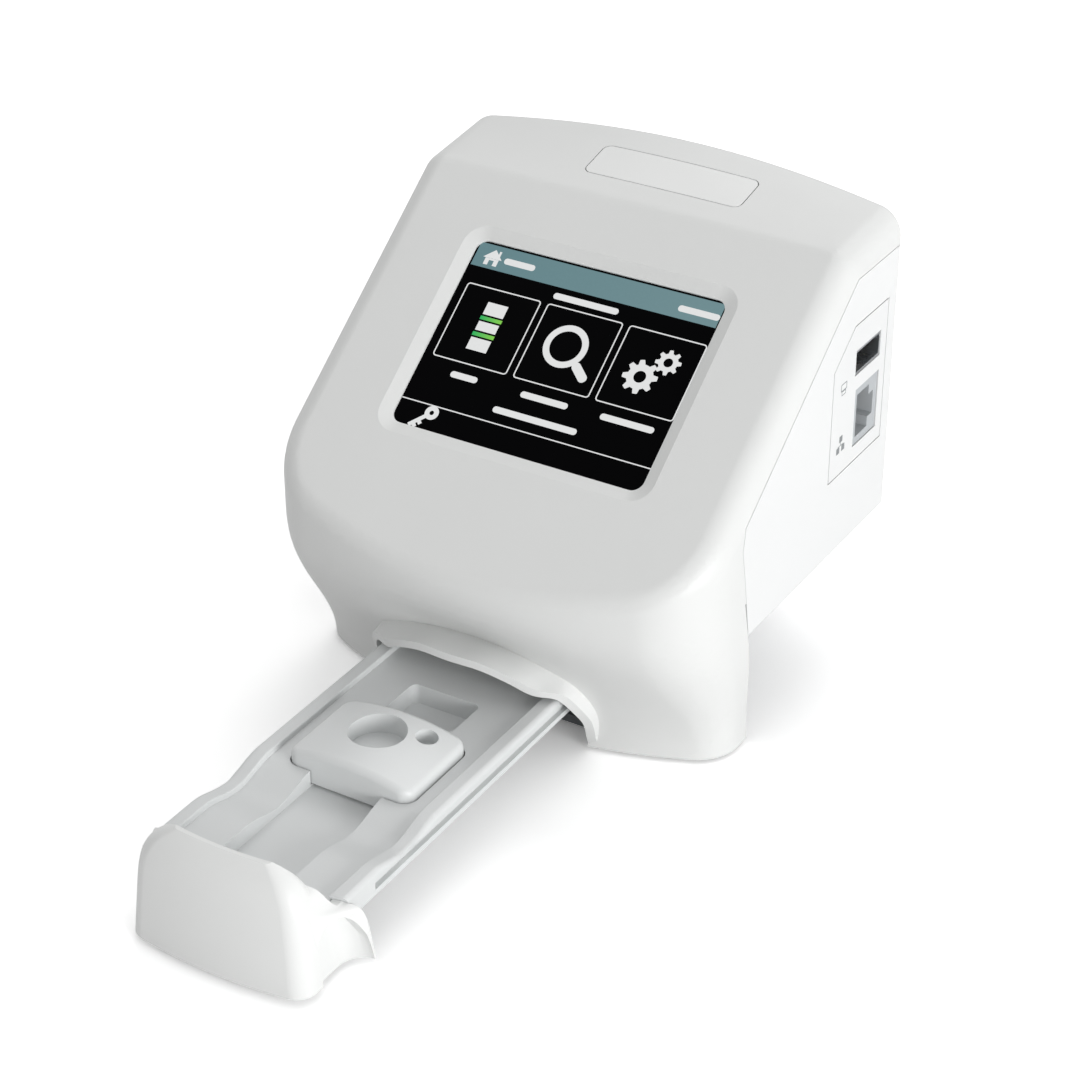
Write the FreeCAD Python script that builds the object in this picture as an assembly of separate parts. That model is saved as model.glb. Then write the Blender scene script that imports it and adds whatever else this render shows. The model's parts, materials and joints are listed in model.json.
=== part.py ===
"""Rapid test reader: a desktop reader for lateral-flow test cassettes.

A wedge-shaped housing carries a touch screen on its sloping face. A drawer slides out of an arch
under the chin and carries the cassette below a camera. Millimetres, +X to the user's right,
+Y away from the user, +Z up. The origin is on the desk, at the middle of the front foot strip.
"""
import FreeCAD
import Part
import math
import os

V = FreeCAD.Vector

# ---- Housing -------------------------------------------------------------------------------
half_width = 61.7            # side walls, measured from the middle plane
wall = 2.5                   # moulded wall of both housing halves
skirt_top = 46.0             # the walls are upright above this height
leg_bottom = 0.8             # lower edge of the legs, above the desk
chin_y = -36.3               # foremost line of the upright front wall
chin_bow = 158.0             # plan radius of the front wall
chin_corner = 22.0           # plan radius of the front corners
leg_half_width = 58.6        # the same four sizes at desk height
leg_front_y = -18.8
leg_bow = 125.0
leg_corner = 12.0
taper_top = 35.0             # the sides taper inwards below this height
leg_back_floor = 8.0         # rear edge of the legs, at the desk
leg_back_lean = 0.228        # how far that edge comes forward for each unit of height
scoop_depth = 5.8            # hollow above the arch
scoop_height = 28.0
scoop_half_width = 24.0
scoop_half_height = 9.5
rear_y = 79.0                # rear wall at the middle
rear_bow = 504.0             # plan radius of the rear wall
rear_round = 1.8             # rounding round the rear wall
housing_floor_z = 35.0       # underside of the rear housing
face_pitch = 36.9            # slope of the face, degrees
face_offset = 34.1           # distance of the face from the housing's lower front edge
brow_y = 49.7                # where the face meets the top
crown_y = 78.0               # line at which the crown of the top is measured
crown_z = 121.6
crown_bow = 425.0            # radius of the crown at that line
edge_round = 7.0             # rounding round the face and the top
inner_round = edge_round - wall
label_depth = 0.9            # thickness of the plate let into the top
label_half_x, label_half_y, label_corner = 21.9, 5.9, 2.0
label_x, label_y = 3.7, 63.1
part_gap = 0.2               # visible seam between the housing halves
part_knee_y, part_knee_z = 51.0, 108.8
part_slope_y, part_slope_z = -3.8, 67.5
part_chin_y, part_chin_z = -4.9, 61.5
part_low_y, part_low_z = -3.3, 54.0

# ---- Arch and its lip ----------------------------------------------------------------------
lip_wall = 1.9
lip_floor_y = -19.8          # front edge of the lip at the desk, on the middle plane
lip_mid_y, lip_mid_z = -30.0, 12.0
lip_shoulder_y, lip_shoulder_z = -35.8, 21.5
lip_top_y, lip_top_z = -36.0, 32.0
lip_bow = 50.0               # plan radius of the lip's front edge at its top
lip_floor_bow = 66.0         # and at the desk
lip_back_y = -10.0           # inner end of the sleeve behind the lip
arch_start_y = -21.0         # the arch's outline changes from here ...
arch_end_y = -35.0           # ... to here

# ---- Screen --------------------------------------------------------------------------------
glass_drop = 1.8             # from the face down to the glass
screen_y = 14.4              # middle of the glass, measured along Y
window_width, window_height = 70.3, 53.0
window_corner = 3.0
bezel_width = 3.4            # bevelled rim round the window
bezel_corner = 6.0
glass_thick = 1.1
glass_width, glass_height = 78.0, 61.0
lcd_width, lcd_height, lcd_thick = 76.4, 63.4, 3.2
lcd_shift = 0.6              # the LCD's border is deeper at its lower edge
frame_wall = 1.8             # sheet of the display frame
fit = 0.3                    # clearance all round between neighbouring pieces
gasket_thick = 0.6
display_board_thick = 1.6

# ---- Drawer --------------------------------------------------------------------------------
drawer_travel = 88.5
tray_front_y = -121.0
tray_rear_y = -14.0
tray_half_width = 25.5
rail_half_inner = 22.0       # rails run along both edges of the deck
deck_z = 19.0
rail_z = 20.5
tray_side_z = 14.5           # lower edge of the tray's sides
tray_keel_z = 12.0           # lower side of the tray's middle
keel_half_width = 20.4
tray_wall = 1.8
dip_depth = 2.3              # finger dip across the tray
dip_start_y, dip_end_y = -105.0, -79.5
channel_half_width = 10.0
channel_floor_z = 14.6
channel_front_y = -117.0
insert_front_y, insert_back_y = -79.7, -54.0
insert_half_width = 17.1
insert_gap = 0.35
insert_corner = 3.4
insert_edge_z = 21.8         # top of the insert at its sides
insert_top_z = 24.4          # and at its middle
insert_bottom_z = 15.4
well_x, well_y, well_radius, well_floor_z = -1.4, -64.6, 7.1, 18.9
pip_x, pip_y, pip_radius, pip_floor_z = 9.3, -60.0, 2.75, 20.0
pocket_half_width, pocket_front_y, pocket_back_y = 9.6, -50.2, -37.0
pocket_corner = 1.8
pocket_floor_z = 13.6
groove_z, groove_half_height, groove_depth = 17.0, 1.1, 1.3
groove_front_y = -105.6

# ---- Drawer front --------------------------------------------------------------------------
front_bottom_z = 1.5
front_nose_y = -133.6        # foremost line of the drawer front
front_bow = 125.0            # plan radius of its face
bulge_half_width = 23.6
bulge_corner = 5.0
front_rear_y = -113.8        # rear face at desk height, on the middle plane
front_rear_lean = 0.395      # how far the rear face comes forward for each unit of height
front_rear_bow = 100.0
front_top_z = 31.4
bulge_flare, bulge_taper = 0.6, 2.6      # the front is this much wider at its foot and narrower at its top
front_lean = 2.2             # its face leans back this far
brow_reach, brow_depth = 8.8, 4.2        # rounding towards the top, sideways and from the front
brow_corner = 6.0            # plan radius at its rear corners
wing_rear_y, wing_rear_lean = -114.4, 0.26
wing_half_width, wing_top_z = 28.9, 19.1
wing_rounding = 1.6          # between the wings' sides and their top
grip_x, grip_y, grip_radius = 29.2, -117.0, 6.2      # finger scoop
front_wall = 2.6
front_screw_x, front_screw_y = 16.5, -117.6

# ---- Chassis -------------------------------------------------------------------------------
foot_thick = 1.2             # rubber feet
chassis_wall = 2.3
tunnel_half_width = 27.3     # inside of the drawer tunnel
tunnel_front_y = -9.6
tunnel_rear_y = 77.4         # outer side of the tunnel's rear wall
guide_front_y = -19.0
slide_gap = 0.3              # the tray runs this far from its guides
stop_length = 1.3            # lug of the guide that ends the drawer's travel both ways
flange_half_width, flange_thick = 37.0, 2.3
flange_front_y, flange_rear_y = 12.0, 72.0
chassis_screw_x, chassis_screw_ys = 33.4, (18.0, 42.0, 66.0)
leg_screw_x, leg_screw_y = 50.0, -0.5
magnet_radius, magnet_length, magnet_z = 3.4, 3.0, 16.2
keeper_thick = 1.2
foot_top = foot_thick + chassis_wall
passage = tunnel_half_width + chassis_wall + fit
stop_front_y = groove_front_y + drawer_travel + slide_gap
groove_rear_y = stop_front_y + stop_length + slide_gap

# ---- Electronics ---------------------------------------------------------------------------
board_thick = 1.6
board_y = 66.9               # front side of the main board
board_left, board_right = -52.0, 58.0
board_low, board_high = 58.0, 101.0
board_post_xs, board_post_zs = (-47.0, 36.0), (63.0, 96.0)
port_plate_thick = 1.2
port_seam = 0.35
jack_low, jack_high = 62.0, 78.0
jack_front, jack_back = 53.1, 66.3
usb_low, usb_high = 82.1, 89.0
usb_front, usb_back = 52.2, 66.1
port_clear = 0.25            # between a socket and its cut-out
jack_plug_half, jack_notch_half = 5.9, 3.2
inlet_x, inlet_z = -44.0, 46.5
inlet_half_x, inlet_half_z, inlet_length = 4.5, 5.5, 12.5
inlet_bore, inlet_pin_radius = 3.15, 1.0
ribbon_thick, ribbon_half = 0.3, 5.0
display_ribbon_x = -24.0

# ---- Optics --------------------------------------------------------------------------------
optics_y = 27.0              # middle of the camera's view when the drawer is shut
optics_half_width, optics_half_depth = 22.0, 19.0
optics_top_half = 13.0
optics_top_z = 70.0
optics_wall = 2.0
optics_floor_z = 28.5
optics_hood_x, optics_hood_y = 18.0, 15.0
optics_flange = 5.0
led_board_z = 44.0
lens_radius, lens_low_z, lens_collar = 6.9, 60.0, 8.4
camera_half = 14.0
window_thick = 1.5

# ---- Fasteners -----------------------------------------------------------------------------
screw_radius = 1.25          # M2.5
screw_head_radius, screw_head_high = 2.3, 1.6
small_screw_radius = 1.0     # M2
small_head_radius, small_head_high = 1.9, 1.3
boss_radius = 3.4


def box(x0, x1, y0, y1, z0, z1):
    return Part.makeBox(x1 - x0, y1 - y0, z1 - z0, V(x0, y0, z0))


def cylinder(x, y, z0, z1, radius):
    return Part.makeCylinder(radius, z1 - z0, V(x, y, z0))


def fused(shapes):
    """One solid from pieces that overlap."""
    shape = shapes[0].multiFuse(shapes[1:]) if len(shapes) > 1 else shapes[0]
    return shape.removeSplitter()


def group(shapes):
    return Part.makeCompound(shapes)


def prism(points, axis):
    """A closed outline of straight runs, extruded along axis."""
    return Part.Face(Part.makePolygon(points + points[:1])).extrude(axis)


def rounded_plate(half_x, half_y, radius, z0, z1, centre=(0, 0)):
    """A flat plate with round corners, from z0 to z1."""
    cx, cy = centre
    x, y, r = half_x, half_y, radius
    plate = box(cx - x, cx + x, cy - y, cy + y, z0, z1)
    upright = [e for e in plate.Edges if abs(e.tangentAt(e.FirstParameter).z) > 0.9]
    return plate.makeFillet(r, upright)


def edges_where(shape, test):
    """Edges whose midpoint passes the test."""
    chosen = []
    for edge in shape.Edges:
        middle = edge.valueAt((edge.FirstParameter + edge.LastParameter) / 2)
        if test(middle, edge):
            chosen.append(edge)
    return chosen


def ease(t):
    """Smooth step from 0 to 1."""
    t = min(max(t, 0.0), 1.0)
    return t * t * (3 - 2 * t)


# ---- Outer shape of the housing ------------------------------------------------------------
def flip(p):
    """The same point on the other side of the middle plane."""
    return V(-p.x, p.y, p.z)


def bowed_end(side, nose, bow, corner, toward, z):
    """Edges of a bowed wall and its two round corners, from the right side round to the left.

    toward is -1 for a wall at the front and 1 for one at the back.
    """
    centre = nose - toward * bow
    corner_x = side - corner
    corner_y = centre + toward * math.sqrt((bow - corner) ** 2 - corner_x ** 2)
    lean = math.asin(corner_x / (bow - corner))
    turn = (math.pi / 2 + lean) / 2
    start = V(side, corner_y, z)
    middle = V(corner_x + corner * math.sin(turn), corner_y + toward * corner * math.cos(turn), z)
    touch = V(bow * math.sin(lean), centre + toward * bow * math.cos(lean), z)
    return start, [
        Part.Arc(start, middle, touch).toShape(),
        Part.Arc(touch, V(0, nose, z), flip(touch)).toShape(),
        Part.Arc(flip(touch), flip(middle), flip(start)).toShape(),
    ]


def front_edges(z, inset):
    """Plan of the front wall at height z, from the right side round to the left."""
    recess = ease((skirt_top - z) / skirt_top)
    taper = ease((taper_top - z) / taper_top)
    side = half_width + (leg_half_width - half_width) * taper - inset
    nose = chin_y + (leg_front_y - chin_y) * recess + inset
    bow = chin_bow + (leg_bow - chin_bow) * recess - inset
    corner = chin_corner + (leg_corner - chin_corner) * recess - inset
    start, edges = bowed_end(side, nose, bow, corner, -1, z)
    if z >= skirt_top:
        return start, edges
    scoop = scoop_depth * math.exp(-((z - scoop_height) / scoop_half_height) ** 2)
    arc = edges[1]
    points = []
    for step in range(17):
        p = arc.valueAt(arc.FirstParameter + (arc.LastParameter - arc.FirstParameter) * step / 16)
        bump = math.exp(-(p.x / scoop_half_width) ** 2) if 0 < step < 16 else 0
        points.append(V(p.x, p.y + scoop * bump, z))
    curve = Part.BSplineCurve()
    tangents = [arc.tangentAt(arc.FirstParameter), arc.tangentAt(arc.LastParameter)]
    curve.interpolate(Points=points, InitialTangent=tangents[0], FinalTangent=tangents[1])
    edges[1] = curve.toShape()
    return start, edges


def skirt_section(z, inset):
    """Closed plan of the legs at height z."""
    right, front = front_edges(z, inset)
    back = leg_back_floor - leg_back_lean * z - inset
    right_back = V(right.x, back, z)
    return Part.Wire(front + [
        Part.makeLine(flip(right), flip(right_back)),
        Part.makeLine(flip(right_back), right_back),
        Part.makeLine(right_back, right),
    ])


def skirt(inset):
    """The receding lower front, from the chin down to the desk."""
    heights = (52, skirt_top, 40.5, 35, 28, 21, 14, 7, 0)
    loft = Part.makeLoft([skirt_section(z, inset) for z in heights], True, False)
    return loft.common(box(-90, 90, -90, 40, 0, skirt_top))


def face_point(y):
    """Height of the sloping face at y on the middle plane."""
    pitch = math.radians(face_pitch)
    return housing_floor_z + (face_offset + math.sin(pitch) * y) / math.cos(pitch)


def above_face(inset):
    """Everything above the sloping face, as a block."""
    block = box(-90, 90, -120, 160, -inset, 120)
    block.rotate(V(0, 0, 0), V(1, 0, 0), face_pitch)
    block.translate(V(0, 0, face_point(0)))
    return block


def above_top(inset):
    """Everything above the crowned top, as a block."""
    brow_z = face_point(brow_y)
    reach = 1.8
    far_y = brow_y + (crown_y - brow_y) * reach
    far_z = brow_z + (crown_z - brow_z) * reach - inset
    drop = reach * 90 ** 2 / (2 * crown_bow)
    near_z = brow_z - inset
    start, end = V(-90, brow_y, near_z), V(90, brow_y, near_z)
    near = Part.makeLine(start, end)
    far = Part.Arc(V(-90, far_y, far_z - drop), V(0, far_y, far_z), V(90, far_y, far_z - drop)).toShape()
    sections = []
    for edge, y in ((near, brow_y), (far, far_y)):
        first, last = edge.Vertexes[0].Point, edge.Vertexes[-1].Point
        top_first, top_last = V(first.x, y, 190), V(last.x, y, 190)
        sections.append(Part.Wire([
            edge,
            Part.makeLine(last, top_last),
            Part.makeLine(top_last, top_first),
            Part.makeLine(top_first, first),
        ]))
    return Part.makeLoft(sections, True, True)


def upright_body(inset, floor_z, rounding, rear_rounding=0):
    """The upright walls under the face and the top, with rounded edges."""
    right, front = front_edges(skirt_top, inset)
    drop = V(0, 0, floor_z - skirt_top)
    for edge in front:
        edge.translate(drop)
    right = right + drop
    middle = rear_y - inset
    sweep = rear_bow - inset
    corner = V(right.x, middle - sweep + math.sqrt(sweep ** 2 - right.x ** 2), floor_z)
    back = Part.Arc(corner, V(0, middle, floor_z), flip(corner)).toShape()
    sides = [Part.makeLine(right, corner), Part.makeLine(flip(right), flip(corner))]
    outline = Part.Wire(Part.__sortEdges__(front + [back] + sides))
    body = Part.Face(outline).extrude(V(0, 0, 160 - floor_z))
    body = body.cut(above_face(inset)).cut(above_top(inset))

    def at_rear(p):
        return abs(math.hypot(p.x, p.y - middle + sweep) - sweep) < 0.05

    def rounded(p, edge):
        ends = [v.Point for v in edge.Vertexes]
        upright = abs(ends[0].x - ends[1].x) < 1 and abs(ends[0].y - ends[1].y) < 1
        return p.z > floor_z + 5 and not upright and not at_rear(p)

    body = body.makeFillet(rounding, edges_where(body, rounded))
    if rear_rounding:
        body = body.makeFillet(rear_rounding,
                               edges_where(body, lambda p, e: at_rear(p) and p.z > floor_z + 1))
    return body


def front_region(shift):
    """The space of the front cover: ahead of and above the seam, moved back by shift."""
    far, deep = 200.0, -20.0
    points = [
        (-far, deep), (-far, far), (far, far), (far, part_knee_z),
        (part_knee_y, part_knee_z), (part_slope_y, part_slope_z), (part_chin_y, part_chin_z),
        (part_low_y, part_low_z), (0.0, housing_floor_z), (30.0, housing_floor_z), (30.0, deep),
    ]
    outline = [V(-100, y + shift, z - shift) for y, z in points]
    return prism(outline, V(200, 0, 0))


# ---- The arch ------------------------------------------------------------------------------
def arch_points(share, inset):
    """Right half of the arch's outline, from below the desk to its top; share 1 is at the lip."""
    plain = [(28.0, -6), (28.7, 0), (30.4, 7.5), (31.1, 14.0), (30.0, 19.5), (27.6, 24.0),
             (24.2, 26.6), (20.0, 27.9), (14.5, 28.6), (8.0, 28.9), (0, 29.0)]
    bell = [(26.5, -6), (27.1, 0), (28.0, 8.0), (28.5, 15.0), (28.1, 20.0), (26.0, 22.6),
            (22.6, 23.4), (18.4, 26.2), (14.2, 28.4), (8.5, 30.0), (0, 30.3)]
    mixed = [(p[0] + (q[0] - p[0]) * share, p[1] + (q[1] - p[1]) * share) for p, q in zip(plain, bell)]
    points = []
    for i, (x, z) in enumerate(mixed):
        before, after = mixed[max(i - 1, 0)], mixed[min(i + 1, len(mixed) - 1)]
        run, rise = after[0] - before[0], after[1] - before[1]
        if i == len(mixed) - 1:
            run, rise = -1, 0
        length = math.hypot(run, rise)
        points.append((x - inset * rise / length, z + inset * run / length))
    return points


def arch_section(y, share, inset):
    half = [V(x, y, z) for x, z in arch_points(share, inset)]
    points = half + [flip(p) for p in reversed(half[:-1])]
    curve = Part.BSplineCurve()
    curve.interpolate(points)
    return Part.Wire([curve.toShape(), Part.makeLine(points[-1], points[0])])


def arch_solid(inset, back_y, front_y):
    """The space of the arch, from behind the front wall to ahead of the lip."""
    steps = 5
    sections = []
    for step in range(steps + 1):
        y = arch_start_y + (arch_end_y - arch_start_y) * step / steps
        sections.append(arch_section(y, ease(step / steps), inset))
    middle = Part.makeLoft(sections, True, False)
    back = Part.Face(sections[0]).extrude(V(0, back_y - arch_start_y, 0))
    front = Part.Face(sections[-1]).extrude(V(0, front_y - arch_end_y, 0))
    return back.fuse([middle, front])


def lip_nose():
    """Everything behind the lip's front edge, which leans forward with height."""
    low_z, high_z = -4, lip_top_z + 3
    places = [(low_z, lip_floor_y - low_z), (0, lip_floor_y),
              (lip_mid_z / 2, (lip_floor_y + lip_mid_y) / 2 - 0.4),
              (lip_mid_z, lip_mid_y), (lip_shoulder_z - 4.5,
                                       lip_shoulder_y + 2.2), (lip_shoulder_z, lip_shoulder_y),
              (lip_top_z, lip_top_y), (high_z, lip_top_y + 0.8)]
    sections = []
    side, back = 38.0, 20.0
    for z, nose in places:
        bow = lip_floor_bow + (lip_bow - lip_floor_bow) * min(max(z / lip_shoulder_z, 0), 1)
        edge = nose + bow - math.sqrt(bow ** 2 - side ** 2)
        left, right = V(-side, edge, z), V(side, edge, z)
        sections.append(Part.Wire([
            Part.Arc(left, V(0, nose, z), right).toShape(),
            Part.makeLine(right, V(side, back, z)),
            Part.makeLine(V(side, back, z), V(-side, back, z)),
            Part.makeLine(V(-side, back, z), left),
        ]))
    return Part.makeLoft(sections, True, False)


# ---- Housing pieces ------------------------------------------------------------------------
def on_face(shape, drop=0.0):
    """Moves a shape from the screen's own frame onto the face; its z points out of the face."""
    placed = shape.copy()
    placed.rotate(V(0, 0, 0), V(1, 0, 0), face_pitch)
    pitch = math.radians(face_pitch)
    depth = glass_drop / math.cos(pitch)
    placed.translate(V(0, screen_y, face_point(screen_y) - depth))
    placed.translate(V(0, math.sin(pitch) * drop, -math.cos(pitch) * drop))
    return placed


def window_cut():
    """Opening over the glass with its bevelled rim."""
    half_w, half_h = window_width / 2, window_height / 2
    through = rounded_plate(half_w, half_h, window_corner, -wall * 2, 1)
    rim = bezel_width
    rings = []
    for z, grow, corner in ((0.5, 0, window_corner), (glass_drop, rim, bezel_corner),
                            (glass_drop + 6, rim * 2, bezel_corner * 2)):
        plate = rounded_plate(half_w + grow, half_h + grow, corner, z, z + 1)
        outline = [w for w in plate.Wires if abs(w.BoundBox.ZMax - z) < 0.01 and w.BoundBox.ZLength < 0.01]
        rings.append(outline[0])
    low = rounded_plate(half_w, half_h, window_corner, 0, 0.5)
    bevel = Part.makeLoft(rings, True, True)
    return on_face(fused([through, low, bevel]))


def glass_seat():
    """Pocket behind the face for the glass."""
    half_w, half_h = glass_width / 2 + fit, glass_height / 2 + fit
    return on_face(box(-half_w, half_w, -half_h, half_h, -12, 0))


def label_outline(grow):
    half_x, half_y, corner = label_half_x + grow, label_half_y + grow, label_corner + grow
    return rounded_plate(half_x, half_y, corner, 90, 140, (label_x, label_y))


def top_skin(low, high):
    """The layer between two depths below the top."""
    layer = above_top(high).cut(above_top(low))
    return layer.common(box(-40, 40, brow_y, crown_y, 90, 140))


def screw(x, y, z, up, length, radius, head_radius, head_high):
    """A pan-head screw whose head bears at z; up is 1 where its point is above its head."""
    if up > 0:
        return fused([cylinder(x, y, z - head_high, z, head_radius),
                      cylinder(x, y, z - 0.2, z + length, radius)])
    return fused([cylinder(x, y, z, z + head_high, head_radius),
                  cylinder(x, y, z - length, z + 0.2, radius)])


def turned_back(shape):
    """Turns a shape made along +Z so that it lies along +Y."""
    turned = shape.copy()
    turned.rotate(V(0, 0, 0), V(1, 0, 0), -90)
    return turned


def display_posts():
    """Places of the four posts behind the face, in the screen's own frame."""
    half_w, half_h = glass_width / 2 + fit + boss_radius + 0.6, glass_height / 2 - 5
    return [(x, y) for x in (-half_w, half_w) for y in (-half_h, half_h)]


def housing_pieces():
    outer = upright_body(0, housing_floor_z, edge_round, rear_round)
    inner = upright_body(wall, housing_floor_z + wall, inner_round)
    under_desk = box(-100, 100, -100, 100, -20, leg_bottom)
    below_skirt_top = box(-100, 100, -100, 100, -20, skirt_top)

    cover = outer.cut(below_skirt_top).common(front_region(0)).fuse(skirt(0))
    behind = box(-half_width + wall, half_width - wall, -12, 30, housing_floor_z, skirt_top + 1)
    sleeve_room = box(-passage, passage, lip_back_y, 30, -20, housing_floor_z + 1)
    cover = cover.cut([inner.cut(below_skirt_top), skirt(wall), behind, under_desk])
    sleeve = arch_solid(0, lip_back_y, arch_end_y - 8).common(lip_nose()).cut(under_desk)
    cover = cover.fuse(sleeve).cut([arch_solid(lip_wall, 40, -60), sleeve_room])
    posts = []
    pilots = []
    for x, y in display_posts():
        low = -glass_thick - gasket_thick - lcd_thick - display_board_thick
        posts.append(on_face(cylinder(x, y, low, glass_drop - wall + 0.3, boss_radius)))
        pilots.append(on_face(cylinder(x, y, low - 1, low + 4.5, small_screw_radius + 0.02)))
    for side in (-1, 1):
        x = side * leg_screw_x
        post = cylinder(x, leg_screw_y, foot_top, foot_top + 14, boss_radius)
        rib = box(min(x, side * 60), max(x, side * 60), leg_screw_y - 1, leg_screw_y + 1,
                  foot_top + 1, foot_top + 14)
        posts.append(post.fuse(rib).common(skirt(0.6)))
        pilots.append(cylinder(x, leg_screw_y, foot_top - 1, foot_top + 9, screw_radius + 0.02))
    cover = cover.fuse(posts).cut(pilots + [window_cut(), glass_seat()])
    cover = cover.cut(label_outline(fit).common(top_skin(-3, label_depth + 0.05)))
    label = label_outline(0).common(top_skin(0, label_depth))

    rear = outer.cut([front_region(part_gap), inner])
    rear = rear.makeFillet(1.6, edges_where(rear, lambda m, e: abs(m.z - housing_floor_z) < 0.01
                                            and m.y > 60))
    bosses, holes = [], []
    for x in (-chassis_screw_x, chassis_screw_x):
        for y in chassis_screw_ys:
            bosses.append(cylinder(x, y, housing_floor_z + 1, housing_floor_z + 9, boss_radius))
            holes.append(cylinder(x, y, housing_floor_z - 1, housing_floor_z + 7, screw_radius + 0.02))
    for x in board_post_xs:
        for z in board_post_zs:
            post = turned_back(cylinder(x, -z, board_y + board_thick, rear_y - 1, boss_radius))
            bosses.append(post.common(upright_slab()))
            holes.append(turned_back(cylinder(x, -z, board_y, board_y + board_thick + 4.5,
                                              screw_radius + 0.02)))
    bosses.append(box(inlet_x - inlet_half_x - 2, inlet_x + inlet_half_x + 2,
                      rear_y - inlet_length - 2, rear_y - 3,
                      housing_floor_z + 1, inlet_z - inlet_half_z))
    for x, y in optics_screws():
        holes.append(cylinder(x, y, housing_floor_z + 0.5, housing_floor_z + wall + 1,
                              small_screw_radius + 0.02))
    holes.append(box(-optics_hood_x - fit, optics_hood_x + fit, optics_y - optics_hood_y - fit,
                     optics_y + optics_hood_y + fit, housing_floor_z - 1, housing_floor_z + wall + 1))
    holes.append(port_plate_blank(port_seam, half_width - port_plate_thick, half_width + 1))
    holes.append(box(half_width - wall - 1, half_width, usb_front - 1.5, jack_back + 1.6,
                     jack_low - 1.5, usb_high + 1.5))
    holes.append(box(inlet_x - inlet_half_x - 0.1, inlet_x + inlet_half_x + 0.1, 60, 90,
                     inlet_z - inlet_half_z - 0.1, inlet_z + inlet_half_z + 0.1))
    rear = rear.fuse(bosses).cut(holes)
    return {"front_cover": cover, "rear_housing": rear, "top_label_plate": label}


def upright_slab():
    """The housing's inside with half of its walls, to end posts within the wall."""
    return upright_body(wall / 2, housing_floor_z + wall / 2, edge_round - wall / 2)


def optics_screws():
    half_x = optics_half_width + optics_flange - small_head_radius - 0.4
    half_y = optics_half_depth + optics_flange - small_head_radius - 0.4
    return [(x, optics_y + y) for x in (-half_x, half_x) for y in (-half_y, half_y)]


def port_plate_blank(grow, x0, x1):
    """The plate's outline: a rectangle with its lower front corner cut off along the seam's slope."""
    back, front_high, front_low = 69.4, 50.9, 40.3
    low, knee, high = 57.9, 88.1, 96.1
    points = [(back + grow, low - grow), (back + grow, high + grow), (front_high - grow * 0.4, high + grow),
              (front_low - grow, knee + grow * 0.4), (front_low - grow, low - grow)]
    return prism([V(x0, y, z) for y, z in points], V(x1 - x0, 0, 0))


def port_pieces():
    x0 = half_width - port_plate_thick
    plate = port_plate_blank(0, x0, half_width)
    c = port_clear
    plate = plate.cut(box(x0 - 1, half_width + 1, usb_front, usb_back, usb_low, usb_high))
    middle = (jack_low + jack_high) / 2
    plate = plate.cut(box(x0 - 1, half_width + 1, jack_front, jack_back, jack_low, jack_high))

    # network jack: a box open to the side, its nose in the plate's cut-out, its latch slot to the rear
    face_x = x0 - 0.3
    body = box(face_x - 15.5, face_x, jack_front - 0.4, board_y, jack_low - 0.6, jack_high + 0.6)
    nose = box(face_x - 1, half_width - c, jack_front + c, jack_back - c, jack_low + c, jack_high - c)
    body = body.fuse(nose)
    plug_front, plug_back = jack_front + 1.6, jack_front + 8.4
    outside = half_width + 1
    body = body.cut(box(face_x - 13, outside, plug_front, plug_back, middle - jack_plug_half,
                        middle + jack_plug_half))
    body = body.cut(box(face_x - 13, outside, plug_back - 1, plug_back + 2.6,
                        middle - jack_notch_half, middle + jack_notch_half))
    contacts = []
    pitch = 1.02
    for i in range(8):
        z = middle + (i - 3.5) * pitch
        wire = box(-8.5, 0, -0.18, 0.18, -0.2, 0.2)
        wire.rotate(V(0, 0, 0), V(0, 0, 1), 12)
        wire.translate(V(face_x - 3.2, plug_front + 2.1, z))
        contacts.append(wire)

    # USB socket: pressed shell round an insulator with a tongue
    shell_back = usb_back - c
    shell_front = usb_front + c
    low, high = usb_low + c + 0.1, usb_high - c - 0.1
    sheet = 0.35
    shell = box(face_x - 13.5, half_width - 0.2, shell_front, shell_back, low, high)
    shell = shell.cut(box(face_x - 14, half_width + 1, shell_front + sheet, shell_back - sheet,
                          low + sheet, high - sheet))
    insulator = fused([
        box(face_x - 13.5, face_x - 10.5, shell_front + sheet, shell_back - sheet,
            low + sheet, high - sheet),
        box(face_x - 13.5, face_x - 0.5, shell_front + 1.1, shell_back - 1.1, high - sheet - 2.3,
            high - sheet - 0.5),
        box(face_x - 13.5, face_x - 9, shell_back - sheet, board_y, low + 0.6, high - 0.6),
    ])
    shell = shell.cut(box(face_x - 14, face_x - 9, shell_back - 1, board_y, low + 0.6, high - 0.6))
    strips = []
    for i in range(4):
        y = (shell_front + shell_back) / 2 + (i - 1.5) * 2.4
        strips.append(box(face_x - 10.4, face_x - 1.5, y - 0.5, y + 0.5, high - sheet - 2.5,
                          high - sheet - 2.3))
    return {
        "port_plate": plate,
        "network_jack": body,
        "network_contacts": group(contacts),
        "usb_shell": shell,
        "usb_insulator": insulator,
        "usb_contacts": group(strips),
    }


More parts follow.
